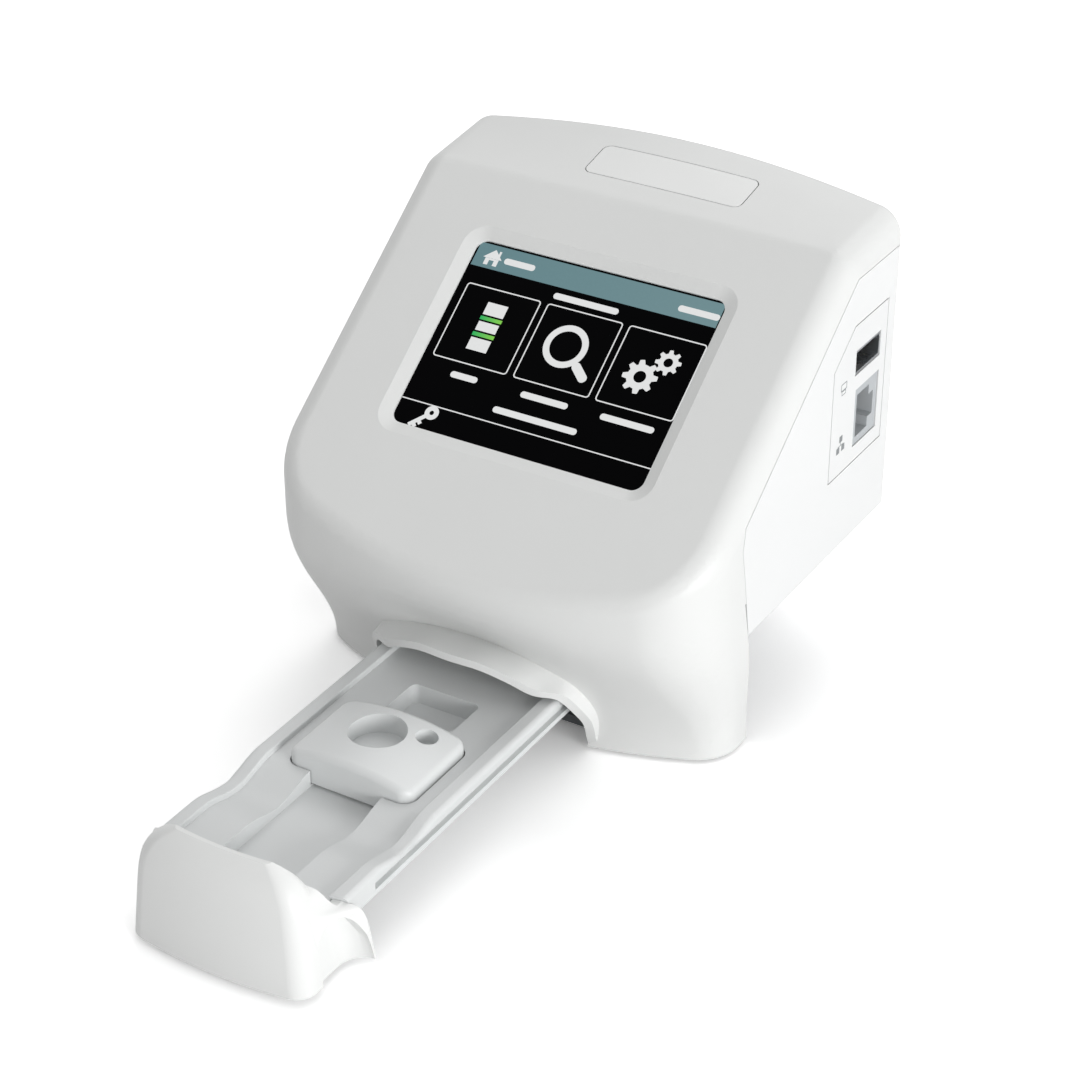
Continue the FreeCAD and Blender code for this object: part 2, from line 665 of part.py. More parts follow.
def screen_pieces():
    """The stack behind the window, from the glass down to the frame that clamps it."""
    z = 0.0
    glass = rounded_plate(glass_width / 2, glass_height / 2, 2.0, z - glass_thick, z)
    z -= glass_thick
    half_w, half_h = lcd_width / 2, lcd_height / 2 - 1.6
    gasket = box(-half_w, half_w, -half_h, half_h, z - gasket_thick, z)
    gasket = gasket.cut(box(2.4 - half_w, half_w - 2.4, 2.4 - half_h, half_h - 2.4, z - 1, z + 1))
    z -= gasket_thick
    lcd = rounded_plate(half_w, half_h, 1.0, z - lcd_thick, z)
    z -= lcd_thick
    board = box(-half_w - 0.4, half_w + 0.4, -half_h, half_h, z - display_board_thick, z)
    z -= display_board_thick
    posts = display_posts()
    reach = posts[-1][0] + boss_radius
    rise = posts[-1][1] + boss_radius
    frame = box(-half_w - 0.4, half_w + 0.4, -half_h, half_h, z - frame_wall, z)
    for side in (-1, 1):
        ear_y = side * posts[-1][1]
        frame = frame.fuse(box(-reach, reach, ear_y - boss_radius, ear_y + boss_radius, z - frame_wall, z))
    frame = frame.cut(box(6 - half_w, half_w - 6, 7 - rise, rise - 7, z - 9, z + 1))
    screws = []
    for x, y in posts:
        frame = frame.cut(cylinder(x, y, z - 9, z + 1, small_screw_radius + 0.2))
        screws.append(on_face(screw(x, y, z - frame_wall, 1, 5.5, small_screw_radius,
                                    small_head_radius, small_head_high)))
    return {
        "touch_glass": on_face(glass),
        "display_gasket": on_face(gasket),
        "lcd_module": on_face(lcd),
        "display_board": on_face(board),
        "display_frame": on_face(frame.removeSplitter()),
        "display_screws": group(screws),
    }


def dip_profile(z, low, front_y, back_y):
    """Side view under the finger dip: flat at z, with the dip, closed at low."""
    curve = Part.BSplineCurve()
    points = []
    for step in range(13):
        share = step / 12
        y = dip_start_y + (dip_end_y - dip_start_y) * share
        points.append(V(0, y, z - dip_depth * (1 - math.cos(2 * math.pi * share)) / 2))
    curve.interpolate(Points=points, InitialTangent=V(0, 1, 0), FinalTangent=V(0, 1, 0))
    start, end = V(0, front_y, z), V(0, back_y, z)
    return Part.Face(Part.Wire([
        Part.makeLine(start, points[0]),
        curve.toShape(),
        Part.makeLine(points[-1], end),
        Part.makeLine(end, V(0, back_y, low)),
        Part.makeLine(V(0, back_y, low), V(0, front_y, low)),
        Part.makeLine(V(0, front_y, low), start),
    ]))


def dipped_block(x0, x1, z, low, front_y, back_y):
    block = dip_profile(z, low, front_y, back_y).extrude(V(x1 - x0, 0, 0))
    block.translate(V(x0, 0, 0))
    return block


def tray():
    skin = tray_wall
    half = rail_half_inner
    deck = dipped_block(-half, half, deck_z, deck_z - 4.2, tray_front_y, tray_rear_y)
    under = dipped_block(-half - 1, half + 1, deck_z - skin, 8, tray_front_y - 1, tray_rear_y + 1)
    room = insert_half_width + insert_gap
    recess_front, recess_back = insert_front_y - insert_gap, insert_back_y + insert_gap
    blocks = [
        box(-channel_half_width - skin, channel_half_width + skin, tray_front_y, recess_front + 1,
            channel_floor_z - skin, deck_z),
        box(-room - skin, room + skin, recess_front - skin, recess_back + skin,
            insert_bottom_z - insert_gap - skin, deck_z),
        box(-pocket_half_width - skin, pocket_half_width + skin, recess_back, pocket_back_y + skin,
            pocket_floor_z - skin, deck_z),
        box(-keel_half_width, keel_half_width, tray_front_y, tray_front_y + skin, tray_keel_z, deck_z),
        box(-keel_half_width, keel_half_width, tray_rear_y - skin, tray_rear_y, tray_keel_z, deck_z),
        turned_back(cylinder(0, -magnet_z, tray_rear_y - magnet_length - skin, tray_rear_y,
                             magnet_radius + skin)),
    ]
    roof = dipped_block(-half, half, deck_z, 8, tray_front_y, tray_rear_y)
    body = deck.cut(under).fuse(blocks).common(roof)
    rails = []
    for side in (-1, 1):
        x0, x1 = sorted((side * (half - 0.6), side * tray_half_width))
        rail = dipped_block(x0, x1, rail_z, tray_side_z, tray_front_y, tray_rear_y)
        for edge_x, rounding in ((side * tray_half_width, 1.3), (side * (half - 0.6), 0.4)):
            top = edges_where(rail, lambda m, e: m.z > rail_z - dip_depth - 0.1 and e.Length > 10
                              and abs(m.x - edge_x) < 0.01)
            rail = rail.makeFillet(rounding, top)
        gx0, gx1 = sorted((side * (tray_half_width - groove_depth), side * (tray_half_width + 1)))
        rails.append(rail.common(behind_face(wing_rear_y + 0.1,
                                             wing_rear_lean)).cut(box(gx0, gx1, groove_front_y,
                                                                      groove_rear_y,
                                  groove_z - groove_half_height, groove_z + groove_half_height)))
    body = fused([body] + rails)
    recess = rounded_plate(room, (recess_back - recess_front) / 2, insert_corner + insert_gap,
                           insert_bottom_z - insert_gap,
                           deck_z + 9, (0, (recess_back + recess_front) / 2))
    channel = box(-channel_half_width, channel_half_width, channel_front_y, insert_front_y + 1,
                  channel_floor_z, deck_z + 9)
    pocket = rounded_plate(pocket_half_width, (pocket_back_y - pocket_front_y) / 2,
                           pocket_corner, pocket_floor_z,
                           deck_z + 9, (0, (pocket_back_y + pocket_front_y) / 2))
    magnet_hole = turned_back(cylinder(0, -magnet_z, tray_rear_y - magnet_length,
                                       tray_rear_y + 1, magnet_radius + 0.02))
    pilots = [cylinder(x, front_screw_y, tray_keel_z - 3, channel_floor_z + 1.2, small_screw_radius + 0.02)
              for x in (-front_screw_x, front_screw_x)]
    studs = [cylinder(x, front_screw_y, tray_keel_z, deck_z - 0.5, boss_radius - 0.6)
             for x in (-front_screw_x, front_screw_x)]
    return body.fuse(studs).cut([recess, channel, pocket, magnet_hole] + pilots)


def insert():
    length = insert_back_y - insert_front_y
    middle = (insert_back_y + insert_front_y) / 2
    rise = insert_top_z - insert_edge_z
    crown = (insert_half_width ** 2 + rise ** 2) / (2 * rise)
    block = rounded_plate(insert_half_width, length / 2, insert_corner, insert_bottom_z,
                          insert_top_z + 2, (0, middle))
    drum = turned_back(cylinder(0, crown - insert_top_z, insert_front_y - 5, insert_back_y + 5, crown))
    block = block.common(drum)
    block = block.makeFillet(1.8, edges_where(block, lambda m, e: m.z > insert_edge_z - 0.2))
    well = cylinder(well_x, well_y, well_floor_z, insert_top_z + 3, well_radius)
    pip = cylinder(pip_x, pip_y, pip_floor_z, insert_top_z + 3, pip_radius)
    return block.cut([well, pip])


def smooth_outline(points, y):
    """A face across the drawer, from the right half of its outline."""
    half = [V(x, y, z) for x, z in points]
    outline = half + [flip(p) for p in reversed(half[:-1])]
    curve = Part.BSplineCurve()
    curve.interpolate(outline)
    return Part.Face(Part.Wire([curve.toShape(), Part.makeLine(outline[-1], outline[0])]))


def behind_face(foot_y, lean):
    """Everything behind a rear face of the drawer front: bowed in plan and leaning forward."""
    slope = math.hypot(1, lean)
    up = V(0, -lean / slope, 1 / slope)
    out = V(0, 1 / slope, lean / slope)
    foot = V(0, foot_y, 0) + out * front_rear_bow - up * 60
    return Part.makeCylinder(front_rear_bow, 140, foot, up)


def slab_level(share):
    """Outline of the drawer front's middle part at one height."""
    brow = share ** 8
    z = front_bottom_z + share * (front_top_z - front_bottom_z)
    half = bulge_half_width + bulge_flare - share * bulge_taper - brow * brow_reach
    corner = bulge_corner * (1 - 0.7 * brow)
    rear_corner = brow_corner * (1 - 0.85 * share ** 3)
    start, nose = bowed_end(half, front_nose_y + share * front_lean + brow * brow_depth,
                            front_bow, corner, -1, z)
    back = front_rear_y - front_rear_lean * z + 2.2
    turn = rear_corner * (1 - math.sqrt(0.5))
    side, middle, end = V(half, back - rear_corner, z), V(half - turn, back - turn,
                                                          z), V(half - rear_corner, back, z)
    rest = [Part.Arc(side, middle, end).toShape(), Part.Arc(flip(side), flip(middle), flip(end)).toShape(),
            Part.makeLine(side, start), Part.makeLine(flip(side),
                                                      flip(start)), Part.makeLine(end, flip(end))]
    return Part.Wire(Part.__sortEdges__(nose + rest))


def wing_plan():
    """Plan of the drawer front's wings, seen from below: they sweep out of its sides towards the rear."""
    sweep = [(18.5, -129.5), (21.0, -127.8), (22.6, -126.0), (23.7, -124.0), (24.6, -122.0), (25.6, -119.8),
             (26.8, -117.6), (28.0, -115.8), (28.9, -114.0), (29.3, -112.0)]
    z = front_bottom_z - 8
    curve = Part.BSplineCurve()
    curve.interpolate([V(x, y, z) for x, y in sweep])
    mirrored = Part.BSplineCurve()
    mirrored.interpolate([V(-x, y, z) for x, y in sweep])
    front, back = sweep[0], sweep[-1]
    ends = [V(back[0], back[1], z), V(back[0], -95, z), V(-back[0], -95, z), V(-back[0], back[1], z)]
    lines = [Part.makeLine(p, q) for p, q in zip(ends, ends[1:])]
    lines.append(Part.makeLine(V(-front[0], front[1], z), V(front[0], front[1], z)))
    return Part.Face(Part.Wire(Part.__sortEdges__([curve.toShape(), mirrored.toShape()] + lines)))


def grip_arch():
    """Outline of a finger scoop, seen from the side."""
    arch = [(-124.6, 9.0), (-124.5, 12.0), (-123.9, 14.6), (-122.4, 17.0), (-120.2, 17.9), (-117.6, 16.6),
            (-115.7, 13.8), (-113.9, 10.1), (-112.5, 6.5), (-111.3, 2.5), (-110.2, -2.0)]
    curve = Part.BSplineCurve()
    curve.interpolate([V(0, y, z) for y, z in arch])
    ends = [V(0, arch[-1][0], arch[-1][1]), V(0, arch[-1][0], -10), V(0, arch[0][0], -10),
            V(0, arch[0][0], arch[0][1])]
    lines = [Part.makeLine(p, q) for p, q in zip(ends, ends[1:])]
    return Part.Face(Part.Wire([curve.toShape()] + lines))


def drawer_front():
    half = wing_half_width
    slab = Part.makeLoft([slab_level(i / 12) for i in range(13)], True, False, False, 3)

    top = [(half - 0.5, -6), (half - 0.4, 1), (half - 0.2, 8), (half, 13.5), (half - 0.3, 16.5),
           (half - 1.2, 18.4), (half - 2.6, wing_top_z), (half - 4.2, wing_top_z + 0.2),
           (half - 5.6, wing_top_z + 1.1), (half - 6.7, wing_top_z + 3.1), (half - 8.1, wing_top_z + 5.4),
           (half - 10, wing_top_z + 6.2), (0, wing_top_z + 6.3)]
    wings = smooth_outline(top, -150).extrude(V(0, 60, 0))
    flare = wing_plan().extrude(V(0, 0, 60))
    wings = wings.common(flare)
    rim = edges_where(wings, lambda p, e: abs(p.x) > 25 and p.z > 5 and e.Length > 30)
    wings = wings.makeFillet(wing_rounding, rim)
    wings = wings.cut(box(-60, 60, -150, -90, -20,
                          front_bottom_z)).cut(behind_face(wing_rear_y, wing_rear_lean))
    behind = behind_face(front_rear_y, front_rear_lean)
    inner = box(-rail_half_inner - 0.1, rail_half_inner + 0.1, -150, -90, -20, 60)
    wings = wings.cut(behind.common(inner.fuse(box(-60, 60, -150, -90, wing_top_z + 0.4, 60))))
    body = slab.cut(behind).fuse(wings).removeSplitter()

    inside = grip_x - grip_radius
    for side in (-1, 1):
        grip = grip_arch().extrude(V(side * 30, 0, 0))
        grip.translate(V(side * inside, 0, 0))
        x0, x1 = sorted((side * inside, side * 60))
        hollow = cylinder(side * grip_x, grip_y, -40, 60,
                          grip_radius).fuse(box(x0, x1, -160, grip_y, -40, 60))
        hollow.rotate(V(0, grip_y, 0), V(1, 0, 0), math.degrees(math.atan(wing_rear_lean)))
        body = body.cut(grip.common(hollow))

    inner = bulge_half_width - front_wall
    nest = box(-rail_half_inner - 0.1, rail_half_inner + 0.1, tray_front_y - 0.1, -90,
               tray_keel_z - 0.1, deck_z + 0.1)
    cellar_top = tray_keel_z - 0.1 - front_wall
    cellar = box(-inner, inner, front_nose_y + front_wall + 3.6, -90, front_bottom_z + front_wall,
                 cellar_top)
    holes, heads = [], []
    for x in (-front_screw_x, front_screw_x):
        holes.append(cylinder(x, front_screw_y, 0, tray_keel_z + 1, small_screw_radius + 0.2))
        heads.append(cylinder(x, front_screw_y, 0, front_bottom_z + front_wall + 1, small_head_radius + 0.4))
    return body.cut([nest, cellar] + holes + heads)


def drawer_pieces():
    magnet = turned_back(cylinder(0, -magnet_z, tray_rear_y - magnet_length, tray_rear_y, magnet_radius))
    seat = tray_keel_z - 0.1 - front_wall
    screws = [screw(x, front_screw_y, seat, 1, 6.5, small_screw_radius, small_head_radius, small_head_high)
              for x in (-front_screw_x, front_screw_x)]
    return {
        "drawer_tray": tray(),
        "drawer_front": drawer_front(),
        "cassette_insert": insert(),
        "drawer_magnet": magnet,
        "drawer_screws": group(screws),
    }


def chassis_pieces():
    inside, outside = tunnel_half_width, tunnel_half_width + chassis_wall
    low, top = foot_thick, housing_floor_z
    front, rear = tunnel_front_y, tunnel_rear_y
    chassis = box(-outside, outside, front, rear, low, top)
    chassis = chassis.cut(box(-inside, inside, front - 1, rear - chassis_wall, foot_top, top + 1))
    plate = Part.Face(skirt_section(0, wall + fit)).extrude(V(0, 0, chassis_wall))
    plate.translate(V(0, 0, low))
    plate_end = leg_back_floor - leg_back_lean * foot_top - wall - fit
    plate = plate.cut([box(-outside - 0.7, outside + 0.7, -60, front, -10, 30),
                       box(-90, 90, plate_end, 60, -10, 30)])
    parts = [plate]
    for side in (-1, 1):
        x0, x1 = sorted((side * inside, side * flange_half_width))
        parts.append(box(x0, x1, flange_front_y, flange_rear_y, top - flange_thick, top)
                     .cut(box(-inside, inside, -50, 100, 0, 60)))
    chassis = chassis.fuse(parts)
    holes = [turned_back(box(-6, 6, -magnet_z - 5, 5 - magnet_z, rear - chassis_wall - 1,
                             rear - chassis_wall + keeper_thick))]
    chassis_screws, leg_screws = [], []
    for x in (-chassis_screw_x, chassis_screw_x):
        for y in chassis_screw_ys:
            holes.append(cylinder(x, y, top - 5, top + 1, screw_radius + 0.2))
            chassis_screws.append(screw(x, y, top - flange_thick, 1, 8.5, screw_radius,
                                        screw_head_radius, screw_head_high))
    for x in (-leg_screw_x, leg_screw_x):
        holes.append(cylinder(x, leg_screw_y, low - 1, foot_top + 1, screw_radius + 0.2))
        holes.append(cylinder(x, leg_screw_y, low - 1, low + 1.2, screw_head_radius + 0.2))
        leg_screws.append(screw(x, leg_screw_y, low + 1.2, 1, 9.5, screw_radius, screw_head_radius, 1.1))
    chassis = fused([chassis]).cut(holes)

    guides = {}
    for name, side in (("guide_left", -1), ("guide_right", 1)):
        near = tray_half_width + slide_gap
        ledge_top = tray_side_z - slide_gap
        end = rear - chassis_wall - fit

        def strip(x0, x1, y0, y1, z0, z1):
            a, b = sorted((side * x0, side * x1))
            return box(a, b, y0, y1, z0, z1)

        pieces = [
            strip(keel_half_width + 1.4, near + 1, guide_front_y, end, ledge_top - 2, ledge_top),
            strip(near, near + 1, guide_front_y, end, ledge_top - 2, groove_z + 2.4),
            strip(near, inside, front + 0.2, end, ledge_top - 2, rail_z + 1.9),
            strip(rail_half_inner + 1.2, inside, front + 0.2, end, rail_z + slide_gap, rail_z + 1.9),
            strip(tray_half_width - groove_depth + slide_gap, near + 0.5, stop_front_y,
                  stop_front_y + stop_length,
                  groove_z - groove_half_height + slide_gap, groove_z + groove_half_height - slide_gap),
        ]
        guides[name] = fused(pieces)

    keeper = turned_back(box(-6 + 0.05, 6 - 0.05, -magnet_z - 4.95, 4.95 - magnet_z,
                             rear - chassis_wall, rear - chassis_wall + keeper_thick))
    feet = [cylinder(x, -1.5, 0, foot_thick, 5.0) for x in (-40, 40)]
    rear_feet = [cylinder(x, 66, 0, foot_thick, 5.0) for x in (-21, 21)]
    return {
        "chassis": chassis,
        **guides,
        "keeper_plate": keeper,
        "chassis_screws": group(chassis_screws),
        "leg_screws": group(leg_screws),
        "front_foot_strip": rounded_plate(20, 3.5, 3.0, 0, foot_thick),
        "leg_pads": group(feet),
        "rear_feet": group(rear_feet),
    }


def optics_pieces():
    y = optics_y
    floor = housing_floor_z + wall
    base = Part.makePolygon([V(sx * optics_half_width, y + sy * optics_half_depth, floor)
                             for sx, sy in ((-1, -1), (1, -1), (1, 1), (-1, 1), (-1, -1))])
    top = Part.makePolygon([V(sx * optics_top_half, y + sy * optics_top_half, optics_top_z)
                            for sx, sy in ((-1, -1), (1, -1), (1, 1), (-1, 1), (-1, -1))])
    tower = Part.makeLoft([base, top], True, True)
    w = optics_wall
    rim_x, rim_y = optics_half_width + optics_flange, optics_half_depth + optics_flange
    rim = box(-rim_x, rim_x, y - rim_y, y + rim_y, floor, floor + 2)
    hood = box(-optics_hood_x, optics_hood_x, y - optics_hood_y, y + optics_hood_y,
               optics_floor_z, floor + 1)
    led_top = led_board_z + board_thick
    room_x, room_y = optics_hood_x - 1.4, optics_hood_y - 1.4
    shaft_low = Part.makePolygon([V(sx * 11, y + sy * 9, led_top) for sx,
                                  sy in ((-1, -1), (1, -1), (1, 1), (-1, 1), (-1, -1))])
    shaft_top = Part.makePolygon([V(sx * 9, y + sy * 9, optics_top_z - w) for sx,
                                  sy in ((-1, -1), (1, -1), (1, 1), (-1, 1), (-1, -1))])
    shaft = Part.makeLoft([shaft_low, shaft_top], True, True)
    chamber = box(-room_x, room_x, y - room_y, y + room_y, optics_floor_z + window_thick + 0.8, led_top)
    seat = box(-room_x - 0.7, room_x + 0.7, y - room_y - 0.7, y + room_y + 0.7,
               optics_floor_z - 1, optics_floor_z + window_thick)
    mouth = box(-room_x + 1, room_x - 1, y - room_y + 1, y + room_y - 1, optics_floor_z, led_top)
    lens_hole = cylinder(0, y, optics_top_z - w - 1, optics_top_z + 1, lens_radius + 0.1)
    posts = [cylinder(sx * 11.3, y + sy * 11.3, optics_top_z - 1, optics_top_z + 1.6, 1.7)
             for sx in (-1, 1) for sy in (-1, 1)]
    pilots = [cylinder(sx * 11.3, y + sy * 11.3, optics_top_z - 2.5, optics_top_z + 3, 0.72)
              for sx in (-1, 1) for sy in (-1, 1)]
    housing = fused([tower, rim, hood] + posts)
    housing = housing.cut([shaft, chamber, seat, mouth, lens_hole] + pilots)
    holes = [cylinder(x, sy, floor - 1, floor + 3, small_screw_radius + 0.2) for x, sy in optics_screws()]
    housing = housing.cut(holes)
    optics_fixings = [screw(x, sy, floor + 2, -1, 3.6, small_screw_radius, small_head_radius,
                            small_head_high)
                      for x, sy in optics_screws()]

    window = box(-room_x - 0.65, room_x + 0.65, y - room_y - 0.65, y + room_y + 0.65,
                 optics_floor_z, optics_floor_z + window_thick)
    led_board = box(-room_x + 0.1, room_x - 0.1, y - room_y + 0.1, y + room_y - 0.1, led_board_z, led_top)
    led_board = led_board.cut(box(-9.5, 9.5, y - 7.5, y + 7.5, led_board_z - 1, led_top + 1))
    leds = []
    for i in range(8):
        angle = math.radians(22.5 + 45 * i)
        cx, cy = 12.6 * math.cos(angle), 10.4 * math.sin(angle)
        leds.append(box(cx - 0.9, cx + 0.9, y + cy - 0.9, y + cy + 0.9, led_board_z - 0.8, led_board_z))
    collar_top = optics_top_z + 1.6
    barrel = fused([
        cylinder(0, y, lens_low_z, collar_top, lens_radius),
        cylinder(0, y, optics_top_z, collar_top, lens_collar),
    ])
    barrel = barrel.cut([cylinder(0, y, lens_low_z - 1, collar_top + 1, 3.6),
                         cylinder(0, y, lens_low_z - 1, lens_low_z + 3.0, 5.2),
                         cylinder(0, y, collar_top - 1.2, collar_top + 1, 6.0)])
    lens = cylinder(0, y, lens_low_z + 0.6, lens_low_z + 3.0, 5.15)
    sensor = box(-4, 4, y - 4, y + 4, collar_top - 1.0, collar_top)
    camera_board = box(-camera_half, camera_half, y - camera_half, y + camera_half,
                       collar_top, collar_top + board_thick)
    camera_screws = []
    for sx in (-1, 1):
        for sy in (-1, 1):
            px, py = sx * 11.3, y + sy * 11.3
            camera_board = camera_board.cut(cylinder(px, py, collar_top - 1, collar_top + 3, 0.85))
            camera_screws.append(screw(px, py, collar_top + board_thick, -1, 4.6, 0.7, 1.35, 1.0))
    return {
        "optics_housing": housing,
        "optics_window": window,
        "led_board": led_board,
        "leds": group(leds),
        "lens_barrel": barrel,
        "camera_lens": lens,
        "camera_sensor": sensor,
        "camera_board": camera_board,
        "camera_screws": group(camera_screws),
        "optics_screws": group(optics_fixings),
    }


def ribbon(x, points, bend):
    """A flat cable whose middle line runs through points in the YZ plane with one round bend."""
    start, corner, end = points
    before, after = (start - corner), (end - corner)
    before.normalize()
    after.normalize()
    half_angle = before.getAngle(after) / 2
    back_off = bend / math.tan(half_angle)
    touch_a, touch_b = corner + before * back_off, corner + after * back_off
    axis = before + after
    axis.normalize()
    centre = corner + axis * (bend / math.sin(half_angle))
    faces = []
    for offset in (-ribbon_thick / 2, ribbon_thick / 2):
        radius = bend + offset

        def shifted(touch, point):
            outward = touch - centre
            outward.normalize()
            return point + outward * offset

        middle = centre - axis * radius
        a, b = shifted(touch_a, touch_a), shifted(touch_b, touch_b)
        faces.append((shifted(touch_a, start), a, middle, b, shifted(touch_b, end)))
    inner, outer = faces
    edges = []
    for first, a, middle, b, last in (inner, outer):
        edges += [Part.makeLine(first, a), Part.Arc(a, middle, b).toShape(), Part.makeLine(b, last)]
    edges += [Part.makeLine(inner[0], outer[0]), Part.makeLine(inner[4], outer[4])]
    face = Part.Face(Part.Wire(Part.__sortEdges__(edges)))
    face.translate(V(x - ribbon_half, 0, 0))
    return face.extrude(V(2 * ribbon_half, 0, 0))


def board_pieces():
    board = box(board_left, board_right, board_y, board_y + board_thick, board_low, board_high)
    screws = []
    for x in board_post_xs:
        for z in board_post_zs:
            board = board.cut(turned_back(cylinder(x, -z, board_y - 1, board_y + 3, screw_radius + 0.2)))
            fixing = screw(x, -z, board_y, 1, 5.8, screw_radius, screw_head_radius, screw_head_high)
            screws.append(turned_back(fixing))

    def chip(x, z, half_x, half_z, high):
        return box(x - half_x, x + half_x, board_y - high, board_y, z - half_z, z + half_z)

    chips = [chip(18, 84, 7, 7, 1.4), chip(2, 70, 4, 6.5, 1.1), chip(-16, 66, 3, 2.5, 1.5),
             chip(26, 69, 4.5, 4.5, 3.0)]
    chips.append(turned_back(cylinder(-12, -92, board_y - 5.5, board_y, 3.2)))
    beeper = turned_back(cylinder(-42, -80, board_y - 6, board_y, 6.0))

    # ribbons: the display's starts square to its board, the camera's goes straight up
    pitch = math.radians(face_pitch)
    stack = glass_thick + gasket_thick + lcd_thick + display_board_thick
    socket_high = 2.0
    face_start = on_face(Part.Vertex(display_ribbon_x, 4.0, -stack)).Point
    into = V(0, math.sin(pitch), -math.cos(pitch))
    display_start = V(0, face_start.y, face_start.z) + into * socket_high
    display_corner = display_start + into * 9
    display_end = V(0, board_y - socket_high, display_corner.z)
    display_cable = ribbon(display_ribbon_x, (display_start, display_corner, display_end), 7.0)
    camera_top = optics_top_z + 1.6 + board_thick
    socket_y = optics_y + 7
    camera_corner_z = camera_top + socket_high + 8
    camera_start = V(0, socket_y, camera_top + socket_high)
    camera_cable = ribbon(0, (camera_start, V(0, socket_y, camera_corner_z),
                              V(0, board_y - socket_high, camera_corner_z)), 6.0)
    half = ribbon_half + 1
    display_socket = on_face(box(display_ribbon_x - half, display_ribbon_x + half, 4 - 2,
                                 4 + 2, -stack - socket_high, -stack))
    sockets = [
        display_socket,
        box(display_ribbon_x - half, display_ribbon_x + half, board_y - socket_high, board_y,
            display_corner.z - 2, display_corner.z + 2),
        box(-half, half, socket_y - 2, socket_y + 2, camera_top, camera_top + socket_high),
        box(-half, half, board_y - socket_high, board_y, camera_corner_z - 2, camera_corner_z + 2),
    ]

    wall_y = rear_y - (rear_bow - math.sqrt(rear_bow ** 2 - inlet_x ** 2)) - 0.15
    inlet = box(inlet_x - inlet_half_x, inlet_x + inlet_half_x, wall_y - inlet_length, wall_y,
                inlet_z - inlet_half_z, inlet_z + inlet_half_z)
    inlet = inlet.cut(turned_back(cylinder(inlet_x, -inlet_z, wall_y - 9.5, wall_y + 1, inlet_bore)))
    pin = turned_back(cylinder(inlet_x, -inlet_z, wall_y - 9.5, wall_y - 0.6, inlet_pin_radius))
    return {
        "main_board": board,
        "board_chips": group(chips),
        "board_screws": group(screws),
        "beeper": beeper,
        "ribbon_sockets": group(sockets),
        "display_cable": display_cable,
        "camera_cable": camera_cable,
        "power_inlet": inlet,
        "inlet_pin": pin,
    }


def main():
    os.makedirs("parts", exist_ok=True)
    nodes = {}
    for make in (housing_pieces, port_pieces, screen_pieces, drawer_pieces, chassis_pieces,
                 optics_pieces, board_pieces):
        nodes.update(make())
    for name, shape in nodes.items():
        shape.exportStep("parts/" + name + ".step")
        solids = shape.Solids
        print(name, len(solids), round(sum(s.Volume for s in solids), 1), "" if shape.isValid()
              else "INVALID")


main()
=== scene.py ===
import json
import math

import bmesh
import bpy
from mathutils import Matrix, Vector

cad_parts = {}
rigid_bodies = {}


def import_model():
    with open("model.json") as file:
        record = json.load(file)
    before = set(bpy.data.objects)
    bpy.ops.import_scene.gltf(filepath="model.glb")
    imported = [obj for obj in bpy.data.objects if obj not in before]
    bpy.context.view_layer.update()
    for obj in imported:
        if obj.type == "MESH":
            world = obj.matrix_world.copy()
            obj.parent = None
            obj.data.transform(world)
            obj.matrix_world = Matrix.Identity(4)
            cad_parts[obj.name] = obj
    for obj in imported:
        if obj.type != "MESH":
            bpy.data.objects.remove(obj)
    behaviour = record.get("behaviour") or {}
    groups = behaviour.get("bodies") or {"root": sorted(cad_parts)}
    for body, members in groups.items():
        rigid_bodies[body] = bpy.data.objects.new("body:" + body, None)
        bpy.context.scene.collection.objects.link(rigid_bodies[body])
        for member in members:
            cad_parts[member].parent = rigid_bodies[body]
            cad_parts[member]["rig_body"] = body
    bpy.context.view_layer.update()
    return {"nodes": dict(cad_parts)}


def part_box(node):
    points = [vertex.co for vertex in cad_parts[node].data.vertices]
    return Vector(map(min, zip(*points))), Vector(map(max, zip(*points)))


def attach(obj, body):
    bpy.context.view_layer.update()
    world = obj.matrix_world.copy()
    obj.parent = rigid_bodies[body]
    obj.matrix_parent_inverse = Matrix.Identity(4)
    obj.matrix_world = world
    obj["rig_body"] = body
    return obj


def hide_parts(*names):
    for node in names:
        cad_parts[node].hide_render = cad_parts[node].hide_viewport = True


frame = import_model()
nodes = frame["nodes"]


# ---- Front cover ---------------------------------------------------------------------------
# The large front moulding with the sloping face, the two legs and the arch over the drawer.
# Injection-moulded ABS with a fine spark-eroded grain; screwed on from the rear.
class Value:
    """One output of a shader node, for arithmetic in Python expressions."""

    def __init__(self, finish, socket):
        self.finish, self.socket = finish, socket

    def maths(self, operation, first, second=0.0):
        return self.finish.node("ShaderNodeMath", {"operation": operation}, {0: first, 1: second})

    def __add__(self, other):
        return self.maths("ADD", self, other)

    def __radd__(self, other):
        return self.maths("ADD", other, self)

    def __sub__(self, other):
        return self.maths("SUBTRACT", self, other)

    def __rsub__(self, other):
        return self.maths("SUBTRACT", other, self)

    def __mul__(self, other):
        return self.maths("MULTIPLY", self, other)

    def __rmul__(self, other):
        return self.maths("MULTIPLY", other, self)

    def __lt__(self, other):
        return self.maths("LESS_THAN", self, other)


